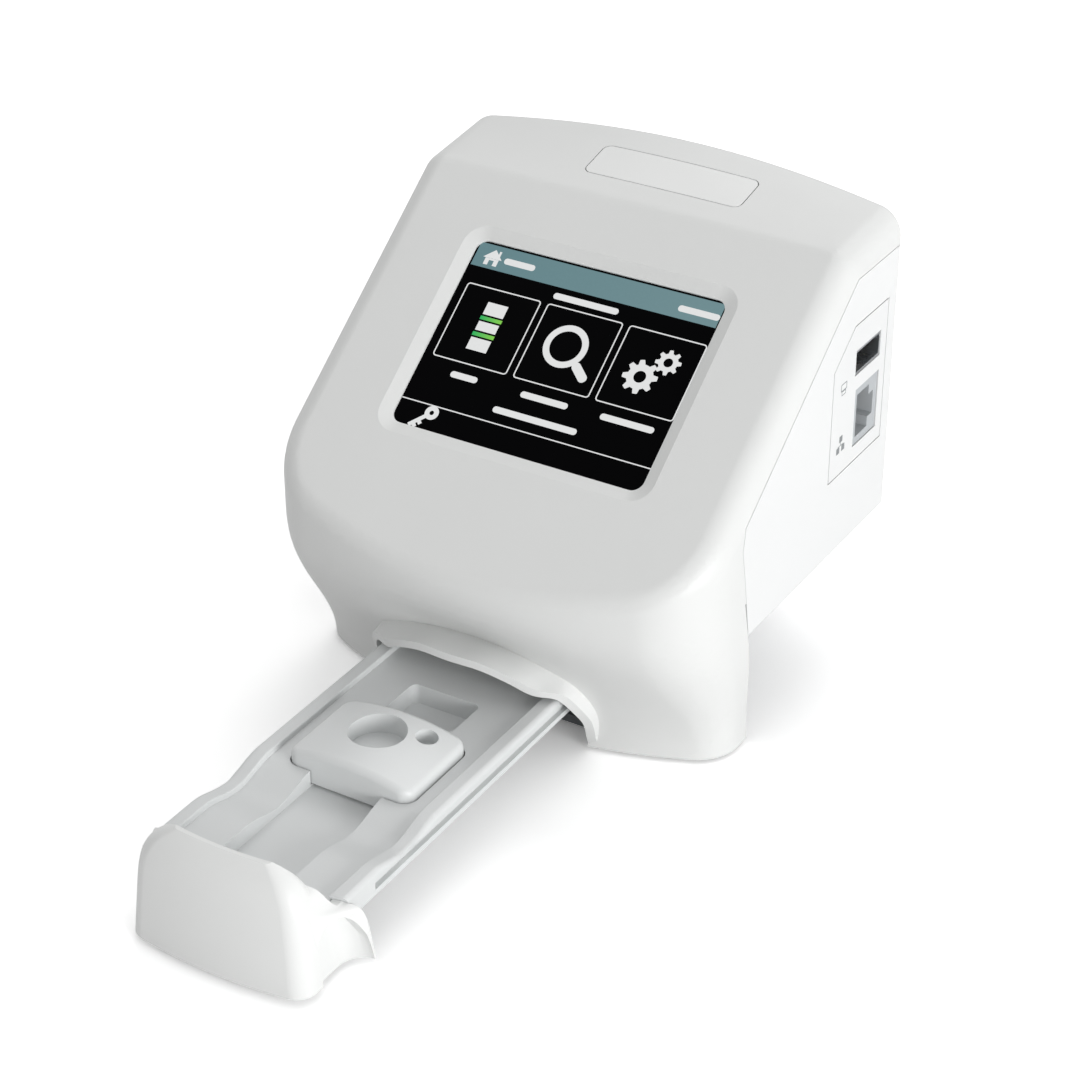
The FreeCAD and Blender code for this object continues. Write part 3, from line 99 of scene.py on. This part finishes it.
class Finish:
    """A material on one Principled shader, with its other nodes added as they are needed."""

    def __init__(self, name):
        self.material = bpy.data.materials.new(name)
        self.material.use_nodes = True
        self.tree = self.material.node_tree
        self.shader = self.tree.nodes["Principled BSDF"]

    def feed(self, socket, value):
        if isinstance(value, Value):
            self.tree.links.new(value.socket, socket)
        else:
            socket.default_value = value

    def node(self, kind, settings=None, sockets=None, output=0):
        made = self.tree.nodes.new(kind)
        for key, value in (settings or {}).items():
            setattr(made, key, value)
        for key, value in (sockets or {}).items():
            self.feed(made.inputs[key], value)
        return Value(self, made.outputs[output])

    def place(self):
        return self.node("ShaderNodeTexCoord", output="Object")

    def noise(self, scale, detail=2.0, stretch=(1, 1, 1), roughness=0.5):
        """Noise with features about 1/scale metres across, 0 to 1."""
        where = self.node("ShaderNodeMapping", {}, {"Vector": self.place(), "Scale": stretch})
        sockets = {"Vector": where, "Scale": scale, "Detail": detail, "Roughness": roughness}
        return self.node("ShaderNodeTexNoise", {}, sockets)

    def blend(self, share, colour, other):
        """One colour turning into another as share goes from 0 to 1."""
        return self.node("ShaderNodeMix", {"data_type": "RGBA"}, {0: share, 6: colour, 7: other}, output=2)

    def bump(self, height, depth):
        """Relief of the given depth in metres."""
        return self.node("ShaderNodeBump", {}, {"Height": height, "Distance": depth, "Strength": 1.0})

    def wear(self, **sockets):
        """Sets sockets of the main shader, named with underscores for spaces."""
        for key, value in sockets.items():
            self.feed(self.shader.inputs[key.replace("_", " ")], value)
        return self.material


def shade(red, green, blue):
    """A display colour of 0 to 255 as the linear colour that a shader takes."""
    def linear(part):
        part /= 255
        return part / 12.92 if part <= 0.04045 else ((part + 0.055) / 1.055) ** 2.4
    return (linear(red), linear(green), linear(blue), 1.0)


def moulded_plastic(name, colour, roughness=0.42, grain=9e-6, unevenness=0.018):
    """Satin plastic: spark-eroded grain, a slow drift of tone, and handling that polishes it in patches."""
    finish = Finish(name)
    drift = finish.noise(26, 3)
    fine = finish.noise(3600, 2)
    handled = finish.noise(70, 4, roughness=0.6)
    darker = [part * (1 - 2 * unevenness) for part in colour[:3]] + [1.0]
    lighter = [min(part * (1 + unevenness), 1.0) for part in colour[:3]] + [1.0]
    return finish.wear(
        Base_Color=finish.blend(drift, darker, lighter),
        Roughness=roughness - 0.05 + 0.1 * handled,
        Normal=finish.bump(fine, grain),
        Specular_IOR_Level=0.42,
    )


weld_distance, sliver = 2e-6, 1e-6


def moulding(node, name, finish, crease=24):
    """A smooth-shaded copy of a solid, worn in its place; edges sharper than crease stay sharp."""
    mesh = nodes[node].data.copy()
    mesh.name = name
    shell = bmesh.new()
    shell.from_mesh(mesh)
    bmesh.ops.remove_doubles(shell, verts=shell.verts, dist=weld_distance)
    bmesh.ops.dissolve_degenerate(shell, edges=shell.edges, dist=sliver)
    for face in shell.faces:
        face.smooth = True
    for edge in shell.edges:
        edge.smooth = edge.is_manifold and edge.calc_face_angle(0) < math.radians(crease)
    shell.to_mesh(mesh)
    shell.free()
    mesh.materials.clear()
    mesh.materials.append(finish)
    piece = bpy.data.objects.new(name, mesh)
    bpy.context.scene.collection.objects.link(piece)
    even = piece.modifiers.new("even shading", "WEIGHTED_NORMAL")
    even.keep_sharp = True
    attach(piece, nodes[node]["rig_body"])
    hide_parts(node)
    return piece


bezel_crease = 17            # keeps the shallow bevel round the screen crisp
cover_plastic = moulded_plastic("cover plastic", shade(222, 223, 222))
moulding("front_cover", "front_cover_moulding", cover_plastic, crease=bezel_crease)

# ---- Rear housing --------------------------------------------------------------------------
# The white rear moulding closes the body behind a fine seam and carries the sockets.
# The same ABS with the same grain; it slides over the chassis and takes the cover's screws.
housing_plastic = moulded_plastic("housing plastic", shade(227, 228, 228))
moulding("rear_housing", "rear_housing_moulding", housing_plastic)

# ---- Label plate ---------------------------------------------------------------------------
# A thin plate let into the top, here left bare. Polycarbonate film with a velvet face,
# held in its recess by adhesive.
film = Finish("label film")
film_weave = film.noise(5200, 1)
label_film = film.wear(
    Base_Color=film.blend(film.noise(60, 2), shade(221, 222, 221), shade(226, 227, 226)),
    Roughness=0.3 + 0.08 * film.noise(240, 3),
    Normal=film.bump(film_weave, 3e-6),
)
moulding("top_label_plate", "label_plate", label_film)

# ---- Port plate ----------------------------------------------------------------------------
# The flush plate round the two sockets on the right side, clipped into the housing from inside.
# The same white plastic as the housing, with two small printed signs.
port_plastic = moulded_plastic("port plate plastic", shade(226, 227, 227), roughness=0.38)
moulding("port_plate", "port_plate_moulding", port_plastic)


def joined_piece(name, shape, finish, body, sharp=30):
    """Makes a finished shape a piece that rides on a body."""
    bmesh.ops.remove_doubles(shape, verts=shape.verts, dist=1e-7)
    bmesh.ops.recalc_face_normals(shape, faces=shape.faces)
    for face in shape.faces:
        face.smooth = True
    for edge in shape.edges:
        edge.smooth = edge.is_manifold and edge.calc_face_angle(0) < math.radians(sharp)
    mesh = bpy.data.meshes.new(name)
    shape.to_mesh(mesh)
    shape.free()
    mesh.materials.append(finish)
    piece = bpy.data.objects.new(name, mesh)
    bpy.context.scene.collection.objects.link(piece)
    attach(piece, body)
    return piece


def add_panel(shape, left, right, low, high, corner=0.0, turn=0.0, ring=0.0):
    """Adds a flat panel, or a ring of it, to a shape in its own flat plane; returns its vertices."""
    width, height = right - left, high - low
    made = bmesh.ops.create_grid(shape, x_segments=1, y_segments=1, size=0.5)["verts"]
    bmesh.ops.scale(shape, vec=(width, height, 1), verts=made)
    face = made[0].link_faces[0]
    if corner:
        bevelled = bmesh.ops.bevel(shape, geom=made, offset=corner, segments=5, profile=0.5,
                                   affect="VERTICES", material=-1)
        face = max((v.link_faces[0] for v in bevelled["verts"]), key=lambda f: f.calc_area())
    if ring:
        bmesh.ops.inset_region(shape, faces=[face], thickness=ring, use_even_offset=True, use_boundary=True)
        verts = list({v for edge in face.edges for v in edge.verts for v in
                      [v] + [edge2.other_vert(v) for edge2 in v.link_edges]})
        bmesh.ops.delete(shape, geom=[face], context="FACES_ONLY")
    else:
        verts = list(face.verts)
    centre = Vector(((left + right) / 2, (low + high) / 2, 0))
    bmesh.ops.rotate(shape, verts=verts, matrix=Matrix.Rotation(turn, 3, "Z"))
    bmesh.ops.translate(shape, verts=verts, vec=centre)
    return verts


def add_ring(shape, x, y, outer, inner, teeth=0, root=0.0):
    """Adds a flat ring, or a gear wheel with a round hole, to a shape in its own flat plane."""
    points_per_tooth, valley_points, plain_points = 6, (3, 4, 5), 40
    count = teeth * points_per_tooth if teeth else plain_points
    rim = bmesh.ops.create_circle(shape, segments=count, radius=outer)["verts"]
    if teeth:
        valley = [v for i, v in enumerate(rim) if i % points_per_tooth in valley_points]
        bmesh.ops.scale(shape, vec=(root / outer, root / outer, 1), verts=valley)
    hole = bmesh.ops.create_circle(shape, segments=count, radius=inner)["verts"]
    edges = {e for v in rim + hole for e in v.link_edges}
    bmesh.ops.bridge_loops(shape, edges=list(edges))
    bmesh.ops.translate(shape, verts=rim + hole, vec=(x, y, 0))


def raise_print(shape, thickness):
    """Gives flat printed shapes their small thickness."""
    flat = list(shape.faces)
    for face in flat:
        face.normal_update()
        if face.normal.z < 0:
            face.normal_flip()
    lifted = bmesh.ops.extrude_face_region(shape, geom=flat, use_keep_orig=True)["geom"]
    top = [part for part in lifted if isinstance(part, bmesh.types.BMVert)]
    bmesh.ops.translate(shape, verts=top, vec=(0, 0, thickness))
    for face in flat:
        face.normal_flip()


ink = Finish("printed grey ink")
sign_ink = ink.wear(
    Base_Color=ink.blend(ink.noise(2500, 2), shade(120, 124, 126), shade(136, 140, 142)),
    Roughness=0.45 + 0.1 * ink.noise(900, 2),
)
plate_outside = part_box("port_plate")[1].x
jack_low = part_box("network_jack")[0]
usb_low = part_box("usb_shell")[0]
print_depth = 2e-5
signs = bmesh.new()
sign_y = jack_low.y - 0.0066
network_sign_z = jack_low.z + 0.0047
usb_sign_z = usb_low.z - 0.0005
square, square_corner = 0.00085, 0.00012
for across, up in ((0, 0.0016), (-0.0014, -0.0012), (0.0014, -0.0012)):
    add_panel(signs, sign_y + across - square, sign_y + across + square,
              network_sign_z + up - square, network_sign_z + up + square, corner=square_corner)
for left, right, low, high in ((-0.00012, 0.00012, -0.0003, 0.00085), (-0.0015, 0.0015, -0.0003, -0.0001),
                               (-0.0015, -0.0013, -0.0005, -0.0001), (0.0013, 0.0015, -0.0005, -0.0001)):
    add_panel(signs, sign_y + left, sign_y + right, network_sign_z + low, network_sign_z + high)
plug_body_half, plug_tip_half = 0.0016, 0.0011
add_panel(signs, sign_y - plug_body_half, sign_y + plug_body_half, usb_sign_z - 0.0008, usb_sign_z + 0.0012,
          corner=0.0003, ring=0.00025)
add_panel(signs, sign_y - plug_tip_half, sign_y + plug_tip_half, usb_sign_z - 0.0020, usb_sign_z - 0.0008,
          ring=0.00022)
raise_print(signs, print_depth)
facing_right = Matrix(((0, 0, 1, 0), (1, 0, 0, 0), (0, 1, 0, 0), (0, 0, 0, 1)))
side_face = Matrix.Translation((plate_outside, 0, 0)) @ facing_right
bmesh.ops.transform(signs, matrix=side_face, verts=signs.verts)
joined_piece("port_signs", signs, sign_ink, "reader")

# ---- Network socket ------------------------------------------------------------------------
# A grey 8-way network jack soldered to the main board, with gold-plated spring contacts.
# Glass-filled nylon, a little duller than the shell.
jack_plastic = moulded_plastic("network jack plastic", shade(178, 182, 185), roughness=0.5, grain=6e-6)
moulding("network_jack", "network_jack_moulding", jack_plastic)


def plated_metal(name, colour, roughness, brushed=0.0, spots=0.02):
    """Plated metal: drawn or brushed lines along X, spots of tarnish and a hard polish."""
    finish = Finish(name)
    lines = finish.noise(900, 3, stretch=(0.06, 1, 1))
    tarnish = finish.noise(420, 4)
    dull = [part * (1 - 8 * spots) for part in colour[:3]] + [1.0]
    return finish.wear(
        Base_Color=finish.blend(tarnish, dull, colour),
        Roughness=roughness + 0.14 * (tarnish - 0.5) + brushed * (lines - 0.5),
        Metallic=1.0,
        Normal=finish.bump(lines, 2e-6 + 4e-6 * brushed),
    )


contact_gold = plated_metal("gold-plated contacts", shade(226, 190, 106), 0.24)
for node in ("network_contacts", "usb_contacts", "inlet_pin"):
    moulding(node, node + "_shown", contact_gold)

# ---- USB socket ----------------------------------------------------------------------------
# A type A receptacle: a folded steel shell round a grey tongue that carries four contacts.
bright_steel = plated_metal("zinc-plated steel", shade(196, 199, 202), 0.3, brushed=0.2)
moulding("usb_shell", "USB_shell", bright_steel)
tongue_plastic = moulded_plastic("socket insulator", shade(150, 154, 158), roughness=0.36, grain=4e-6)
moulding("usb_insulator", "USB_tongue", tongue_plastic)

# ---- Power inlet ---------------------------------------------------------------------------
# A round low-voltage inlet at the rear, moulded in black with a plated centre pin.
inlet_plastic = moulded_plastic("inlet plastic", shade(38, 39, 41), roughness=0.34, grain=5e-6)
moulding("power_inlet", "power_inlet_moulding", inlet_plastic)

# ---- Touch glass ---------------------------------------------------------------------------
# Black-backed touch glass with an anti-reflection coat, bonded to the display behind the bezel.
# Chemically toughened, with the faint smears that fingers leave.
glass = Finish("touch glass")
smears = glass.noise(90, 5, stretch=(1, 0.45, 1), roughness=0.65)
touch_glass = glass.wear(
    Base_Color=glass.blend(glass.noise(40, 2), shade(1, 1, 2), shade(3, 3, 4)),
    Roughness=0.05 + 0.16 * smears,
    Specular_IOR_Level=0.02,
    Normal=glass.bump(glass.noise(30, 1), 2e-6),
)
moulding("touch_glass", "touch_glass_pane", touch_glass)

# ---- Screen picture ------------------------------------------------------------------------
# What the display shows through the glass: a header band, three tiles with common signs and
# plain bars for captions. Lit pixels, so each colour glows by itself at its own level.
glass_low, glass_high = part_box("touch_glass")
slope = math.radians(36.9)   # of the face that the glass lies in
glass_thick = 0.0011
outward = Vector((0, -math.sin(slope), math.cos(slope)))
uphill = Vector((0, math.cos(slope), math.sin(slope)))
window_lift = 0.00135        # the window's middle lies this far up the glass from its own
glass_middle = (glass_low + glass_high) / 2 + outward * glass_thick / 2 + uphill * window_lift


def lit_pixels(name, colour, other=None, across=(0.0, 1.0)):
    """Glowing pixels with their fine grid; a second colour comes in along X where one is given."""
    finish = Finish(name)
    where = finish.node("ShaderNodeSeparateXYZ", {}, {0: finish.place()})
    start, end = across
    share = finish.node("ShaderNodeMapRange", {}, {0: where, 1: start, 2: end, 3: 0.0, 4: 1.0})
    tone = finish.blend(share, colour, other or colour)
    flicker = finish.noise(1800, 1)
    dim = finish.blend(flicker, (0.94, 0.94, 0.94, 1), (1, 1, 1, 1))
    settings = {"data_type": "RGBA", "blend_type": "MULTIPLY"}
    lit = finish.node("ShaderNodeMix", settings, {0: 1.0, 6: tone, 7: dim}, output=2)
    return finish.wear(Base_Color=(0.01, 0.01, 0.01, 1), Emission_Color=lit, Emission_Strength=1.0,
                       Roughness=0.2 + 0.1 * flicker, Specular_IOR_Level=0.1)


def on_screen(name, shape, finish, lift):
    """Lays a flat shape, drawn in the plane of the glass, on the screen."""
    raise_print(shape, print_depth)
    plane = Matrix.Translation(glass_middle + outward * lift) @ Matrix.Rotation(slope, 4, "X")
    bmesh.ops.transform(shape, matrix=plane, verts=shape.verts)
    return joined_piece(name, shape, finish, "reader")


view_half, view_margin = 0.0350, 0.0004
header_low, header_high = 0.01795, 0.0246
header_lift, sign_lift = 1e-5, 3e-5
header = bmesh.new()
add_panel(header, -view_half + view_margin, view_half - view_margin, header_low, header_high)
header_teal = lit_pixels("screen header colour", shade(97, 131, 137), shade(108, 139, 144), (-0.03, 0.03))
on_screen("screen_header", header, header_teal, header_lift)

symbols = bmesh.new()
tile_low, tile_high, tile_wide = -0.00825, 0.01315, 0.0214
tile_corner, tile_line = 0.0009, 0.00032
for left in (-0.0328, -0.0096, 0.0135):
    add_panel(symbols, left, left + tile_wide, tile_low, tile_high, corner=tile_corner, ring=tile_line)
footer_low, footer_high = -0.02122, -0.02092
add_panel(symbols, -view_half, view_half, footer_low, footer_high)
caption_half, caption_corner = 0.00085, 0.0008
for left, right, middle in ((-0.0256, -0.0179, -0.0117), (-0.0054, 0.0078, -0.0118),
                            (0.0168, 0.0315, -0.0117), (-0.0105, 0.0130, -0.0175),
                            (-0.0092, 0.0091, 0.0155), (0.0233, 0.0346, 0.0207),
                            (-0.0262, -0.0173, 0.0211)):
    add_panel(symbols, left, right, middle - caption_half, middle + caption_half, corner=caption_corner)

strip_left, strip_right = -0.0250, -0.0192
for low, high in ((0.0058, 0.0093), (0.00125, 0.0038), (-0.0042, -0.0008)):
    add_panel(symbols, strip_left, strip_right, low, high)

lens_x, lens_y, lens_outer, lens_inner = 0.0001, 0.0032, 0.0059, 0.0042
add_ring(symbols, lens_x, lens_y, lens_outer, lens_inner)
handle_out, handle_turn = 0.0086, math.radians(-41)
handle_long, handle_wide = 0.0030, 0.0012
handle_x = lens_x + handle_out * math.cos(handle_turn)
handle_y = lens_y + handle_out * math.sin(handle_turn)
add_panel(symbols, handle_x - handle_long, handle_x + handle_long,
          handle_y - handle_wide, handle_y + handle_wide, corner=0.0011, turn=handle_turn)

for wheel_x, wheel_y, tip, bore, root in ((0.0219, 0.0007, 0.0046, 0.0016, 0.0034),
                                          (0.0272, 0.0061, 0.0034, 0.0012, 0.0025)):
    add_ring(symbols, wheel_x, wheel_y, tip, bore, teeth=8, root=root)

key_x, key_y, key_bow, key_hole = -0.0254, -0.0230, 0.0019, 0.0006
key_turn = math.radians(45)
add_ring(symbols, key_x, key_y, key_bow, key_hole)
for along, half_long, aside, half_wide in ((-0.0040, 0.0025, 0.0, 0.00055),
                                           (-0.0052, 0.0005, -0.0009, 0.0005),
                                           (-0.0037, 0.0005, -0.0009, 0.0005)):
    x = key_x + along * math.cos(key_turn) - aside * math.sin(key_turn)
    y = key_y + along * math.sin(key_turn) + aside * math.cos(key_turn)
    add_panel(symbols, x - half_long, x + half_long, y - half_wide, y + half_wide, turn=key_turn)

home_x, roof_y, roof_radius, roof_squash = -0.0296, 0.0217, 0.0031, 0.55
roof = bmesh.ops.create_circle(symbols, cap_ends=True, segments=3, radius=roof_radius)["verts"]
bmesh.ops.scale(symbols, vec=(1.0, roof_squash, 1), verts=roof)
bmesh.ops.translate(symbols, verts=roof, vec=(home_x, roof_y, 0))
for left, right, low, high in ((-0.0019, -0.0007, 0.0189, 0.0208), (0.0007, 0.0019, 0.0189, 0.0208),
                               (-0.0007, 0.0007, 0.0203, 0.0208), (0.0012, 0.0018, 0.0216, 0.0232)):
    add_panel(symbols, home_x + left, home_x + right, low, high)
on_screen("screen_signs", symbols, lit_pixels("screen sign white", shade(226, 227, 227)), sign_lift)

bands = bmesh.new()
band_overhang = 0.0002
for low, high in ((0.0043, 0.0053), (-0.0003, 0.00075)):
    add_panel(bands, strip_left - band_overhang, strip_right + band_overhang, low, high)
band_green = lit_pixels("test band green", shade(38, 176, 92), shade(128, 205, 76), (strip_left, strip_right))
on_screen("test_bands", bands, band_green, sign_lift)

# ---- Display and its frame -----------------------------------------------------------------
# Behind the glass: a foam gasket, the LCD with its metal back, its drive board and the sheet
# frame whose screws hold them all to the cover.
def closed_foam(name, colour):
    """Foam or soft rubber: fine pores and no shine."""
    finish = Finish(name)
    pores = finish.node("ShaderNodeTexVoronoi", {}, {"Vector": finish.place(), "Scale": 2600})
    lighter = [part * 1.5 for part in colour[:3]] + [1.0]
    return finish.wear(
        Base_Color=finish.blend(finish.noise(300, 3), colour, lighter),
        Roughness=0.86 - 0.08 * pores,
        Normal=finish.bump(pores, 3e-5),
        Specular_IOR_Level=0.25,
    )


def circuit_board(name):
    """Green solder mask over copper tracks, with bare tinned vias."""
    finish = Finish(name)
    tracks = {"Vector": finish.place(), "Scale": 260.0, "Color1": (1, 1, 1, 1), "Color2": (0.6, 0.6, 0.6, 1),
              "Mortar": (0, 0, 0, 1), "Mortar Size": 0.012}
    cells = finish.node("ShaderNodeTexBrick", {"offset": 0.5}, tracks, output="Fac")
    vias = finish.node("ShaderNodeTexVoronoi", {}, {"Vector": finish.place(), "Scale": 330})
    via_size = 0.12
    hole = vias < via_size
    tone = finish.blend(cells, shade(24, 92, 58), shade(16, 68, 42))
    return finish.wear(
        Base_Color=finish.blend(hole, tone, shade(196, 192, 178)),
        Roughness=0.32 + 0.1 * finish.noise(500, 2),
        Metallic=hole,
        Normal=finish.bump(cells, 1.5e-5),
    )


foam_black = closed_foam("gasket foam", shade(44, 44, 45))
board_green = circuit_board("circuit board")
moulding("display_gasket", "gasket_foam", foam_black)
display_back = plated_metal("display back", shade(186, 188, 190), 0.38, brushed=0.25)
moulding("lcd_module", "LCD_module", display_back)
moulding("display_board", "display_drive_board", board_green)
moulding("display_frame", "display_sheet_frame", bright_steel)
for node in ("display_screws", "chassis_screws", "leg_screws", "camera_screws", "optics_screws",
             "board_screws", "drawer_screws"):
    moulding(node, node + "_shown", bright_steel)

# ---- Drawer --------------------------------------------------------------------------------
# The tray slides on two rails and carries the cassette insert; its bowed front has a finger
# scoop on each side. Moulded in the cover's grey, a touch smoother where fingers reach; the tray's
# colour is set darker than the front's, as painted shade for the shadow it sits in under the arch.
tray_plastic_painted_shade = moulded_plastic("drawer tray plastic, painted shade", shade(212, 214, 214), roughness=0.4)
front_plastic = moulded_plastic("drawer front plastic", shade(229, 230, 229), roughness=0.4)
insert_plastic = moulded_plastic("insert plastic", shade(217, 219, 219), roughness=0.36, grain=6e-6)
moulding("drawer_tray", "drawer_tray_moulding", tray_plastic_painted_shade)
moulding("drawer_front", "drawer_front_moulding", front_plastic)
moulding("cassette_insert", "cassette_insert_moulding", insert_plastic)
magnet_nickel = plated_metal("nickel-plated magnet", shade(205, 204, 200), 0.16)
moulding("drawer_magnet", "latch_magnet", magnet_nickel)

# ---- Chassis, guides and feet --------------------------------------------------------------
# The dark inner moulding holds the acetal guides of the drawer, the keeper plate of its latch
# and the optics; soft pads under it and under the legs stand on the desk.
chassis_plastic = moulded_plastic("chassis plastic", shade(108, 111, 113), roughness=0.5, grain=1.2e-5)
moulding("chassis", "chassis_moulding", chassis_plastic)
acetal = moulded_plastic("acetal", shade(226, 226, 221), roughness=0.3, grain=3e-6)
moulding("guide_left", "left_guide", acetal)
moulding("guide_right", "right_guide", acetal)
moulding("keeper_plate", "latch_keeper_plate", bright_steel)
foot_rubber = closed_foam("foot rubber", shade(52, 52, 53))
for node in ("front_foot_strip", "leg_pads", "rear_feet"):
    moulding(node, node + "_shown", foot_rubber)

# ---- Optics --------------------------------------------------------------------------------
# A light-tight black hood over the drawer: a ring of white LEDs, a clear window below and the
# camera with its lens above, each screwed to the hood.
optics_black = moulded_plastic("optics black", shade(40, 40, 41), roughness=0.62, grain=1.6e-5)
moulding("optics_housing", "optics_hood", optics_black)
moulding("lens_barrel", "lens_tube", optics_black)
clear = Finish("clear window")
clear_window = clear.wear(
    Base_Color=clear.blend(clear.noise(80, 2), (0.93, 0.96, 0.96, 1), (0.97, 0.99, 0.99, 1)),
    Roughness=0.03 + 0.05 * clear.noise(300, 3),
    Transmission_Weight=1.0,
    IOR=1.49,
)
moulding("optics_window", "clear_window_pane", clear_window)
coated = Finish("coated lens")
coated_lens = coated.wear(
    Base_Color=coated.blend(coated.noise(120, 1), (0.72, 0.78, 0.9, 1), (0.8, 0.84, 0.92, 1)),
    Roughness=0.02 + 0.02 * coated.noise(400, 2),
    Transmission_Weight=0.9,
    IOR=1.6,
)
moulding("camera_lens", "lens_element", coated_lens)
moulding("led_board", "LED_board", board_green)
moulding("camera_board", "camera_circuit_board", board_green)
phosphor = Finish("LED phosphor")
led_face = phosphor.wear(
    Base_Color=phosphor.blend(phosphor.noise(1500, 2), shade(238, 214, 120), shade(246, 232, 160)),
    Roughness=0.3 + 0.1 * phosphor.noise(700, 2),
    Normal=phosphor.bump(phosphor.noise(2500, 1), 4e-6),
)
moulding("leds", "white_LEDs", led_face)


def chip_resin(name, colour):
    """Black moulding resin with its matt laser-marked face."""
    finish = Finish(name)
    lighter = [part * 1.8 for part in colour[:3]] + [1.0]
    return finish.wear(
        Base_Color=finish.blend(finish.noise(1200, 3), colour, lighter),
        Roughness=0.5 + 0.12 * finish.noise(600, 2),
        Normal=finish.bump(finish.noise(4200, 1), 4e-6),
    )


chip_black = chip_resin("chip resin", shade(34, 34, 36))
moulding("camera_sensor", "image_sensor", chip_black)

# ---- Electronics ---------------------------------------------------------------------------
# The main board stands behind the display with its chips, beeper and ribbon sockets; flat
# cables run from it to the display and to the camera.
moulding("main_board", "main_circuit_board", board_green)
moulding("board_chips", "chips", chip_black)
moulding("beeper", "beeper_can", chip_black)
ribbon_socket_plastic = moulded_plastic("ribbon socket plastic", shade(206, 200, 186), roughness=0.44,
                                        grain=4e-6)
moulding("ribbon_sockets", "ribbon_socket_bodies", ribbon_socket_plastic)
ribbon = Finish("flat cable")
ribbon_place = ribbon.node("ShaderNodeSeparateXYZ", {}, {0: ribbon.place()})
conductors_per_metre, conductor_share = 1000.0, 0.45
across_pitch = ribbon.node("ShaderNodeMath", {"operation": "FRACT"}, {0: ribbon_place * conductors_per_metre})
conductor = across_pitch < conductor_share
flat_cable = ribbon.wear(
    Base_Color=ribbon.blend(conductor, shade(236, 236, 232), shade(206, 208, 208)),
    Roughness=0.3 + 0.1 * ribbon.noise(300, 2),
    Normal=ribbon.bump(conductor, 1e-5),
)
moulding("display_cable", "display_flat_cable", flat_cable)
moulding("camera_cable", "camera_flat_cable", flat_cable)

# ---- Stage ---------------------------------------------------------------------------------
# A white table under soft studio light: an even sky, a broad lamp from the right and a gentle
# one from above and behind. The table shows white to the camera and still takes the shadow.
table_shape = bmesh.new()
table_half, table_drop = 6.0, 0.0002
bmesh.ops.create_grid(table_shape, x_segments=1, y_segments=1, size=table_half)
bmesh.ops.translate(table_shape, verts=table_shape.verts, vec=(0, 0, -table_drop))
table_mesh = bpy.data.meshes.new("table")
table_shape.to_mesh(table_mesh)
table_shape.free()
table = bpy.data.objects.new("table_top", table_mesh)
bpy.context.scene.collection.objects.link(table)
table_paint = Finish("table white")
seen = table_paint.node("ShaderNodeLightPath", output="Is Camera Ray")
glow = table_paint.blend(seen, (0, 0, 0, 1), (0.1, 0.1, 0.1, 1))
table_mesh.materials.append(table_paint.wear(
    Base_Color=table_paint.blend(seen, (0.85, 0.85, 0.85, 1), (1.35, 1.35, 1.35, 1)),
    Roughness=0.9,
    Specular_IOR_Level=0.0,
    Emission_Color=glow,
    Emission_Strength=1.0,
))

world = bpy.data.worlds.new("studio")
bpy.context.scene.world = world
world.use_nodes = True
sky = world.node_tree.nodes["Background"]
path = world.node_tree.nodes.new("ShaderNodeLightPath")
level = world.node_tree.nodes.new("ShaderNodeMapRange")
plain = world.node_tree.nodes.new("ShaderNodeMath")
plain.operation = "MAXIMUM"
world.node_tree.links.new(path.outputs["Is Camera Ray"], plain.inputs[0])
world.node_tree.links.new(path.outputs["Is Glossy Ray"], plain.inputs[1])
world.node_tree.links.new(plain.outputs[0], level.inputs["Value"])
sky_on_object, sky_seen = 0.57, 1.0
level.inputs["To Min"].default_value = sky_on_object
level.inputs["To Max"].default_value = sky_seen
world.node_tree.links.new(level.outputs[0], sky.inputs["Strength"])
sky.inputs["Color"].default_value = (1, 1, 1, 1)

aim_point = Vector((0, 0, 0.06))
for name, place, size, power in (("lamp right", (1.4, -0.56, 0.26), 0.8, 17.0),
                                 ("lamp above", (-0.2, 0.9, 1.3), 1.2, 6.5)):
    lamp = bpy.data.lights.new(name, "AREA")
    lamp.shape, lamp.size, lamp.energy = "DISK", size, power
    holder = bpy.data.objects.new(name, lamp)
    holder.location = place
    aim = aim_point - Vector(place)
    holder.rotation_euler = aim.to_track_quat("-Z", "Y").to_euler()
    bpy.context.scene.collection.objects.link(holder)

# ---- Camera --------------------------------------------------------------------------------
# A long lens that looks down on the reader from the front right, over the open drawer.
# The colours go out as they are, with no film curve.
camera = bpy.data.objects.new("camera", bpy.data.cameras.new("camera"))
camera.data.lens, camera.data.sensor_width = 92.33, 36.0
camera.data.clip_start, camera.data.clip_end = 0.05, 30.0
camera.location = (0.30626, -0.49954, 0.39343)
turn, tilt = math.radians(31.2), math.radians(30.85)
camera.rotation_euler = (math.pi / 2 - tilt, 0, turn)
bpy.context.scene.collection.objects.link(camera)
bpy.context.scene.camera = camera
bpy.context.scene.view_settings.view_transform = "Standard"
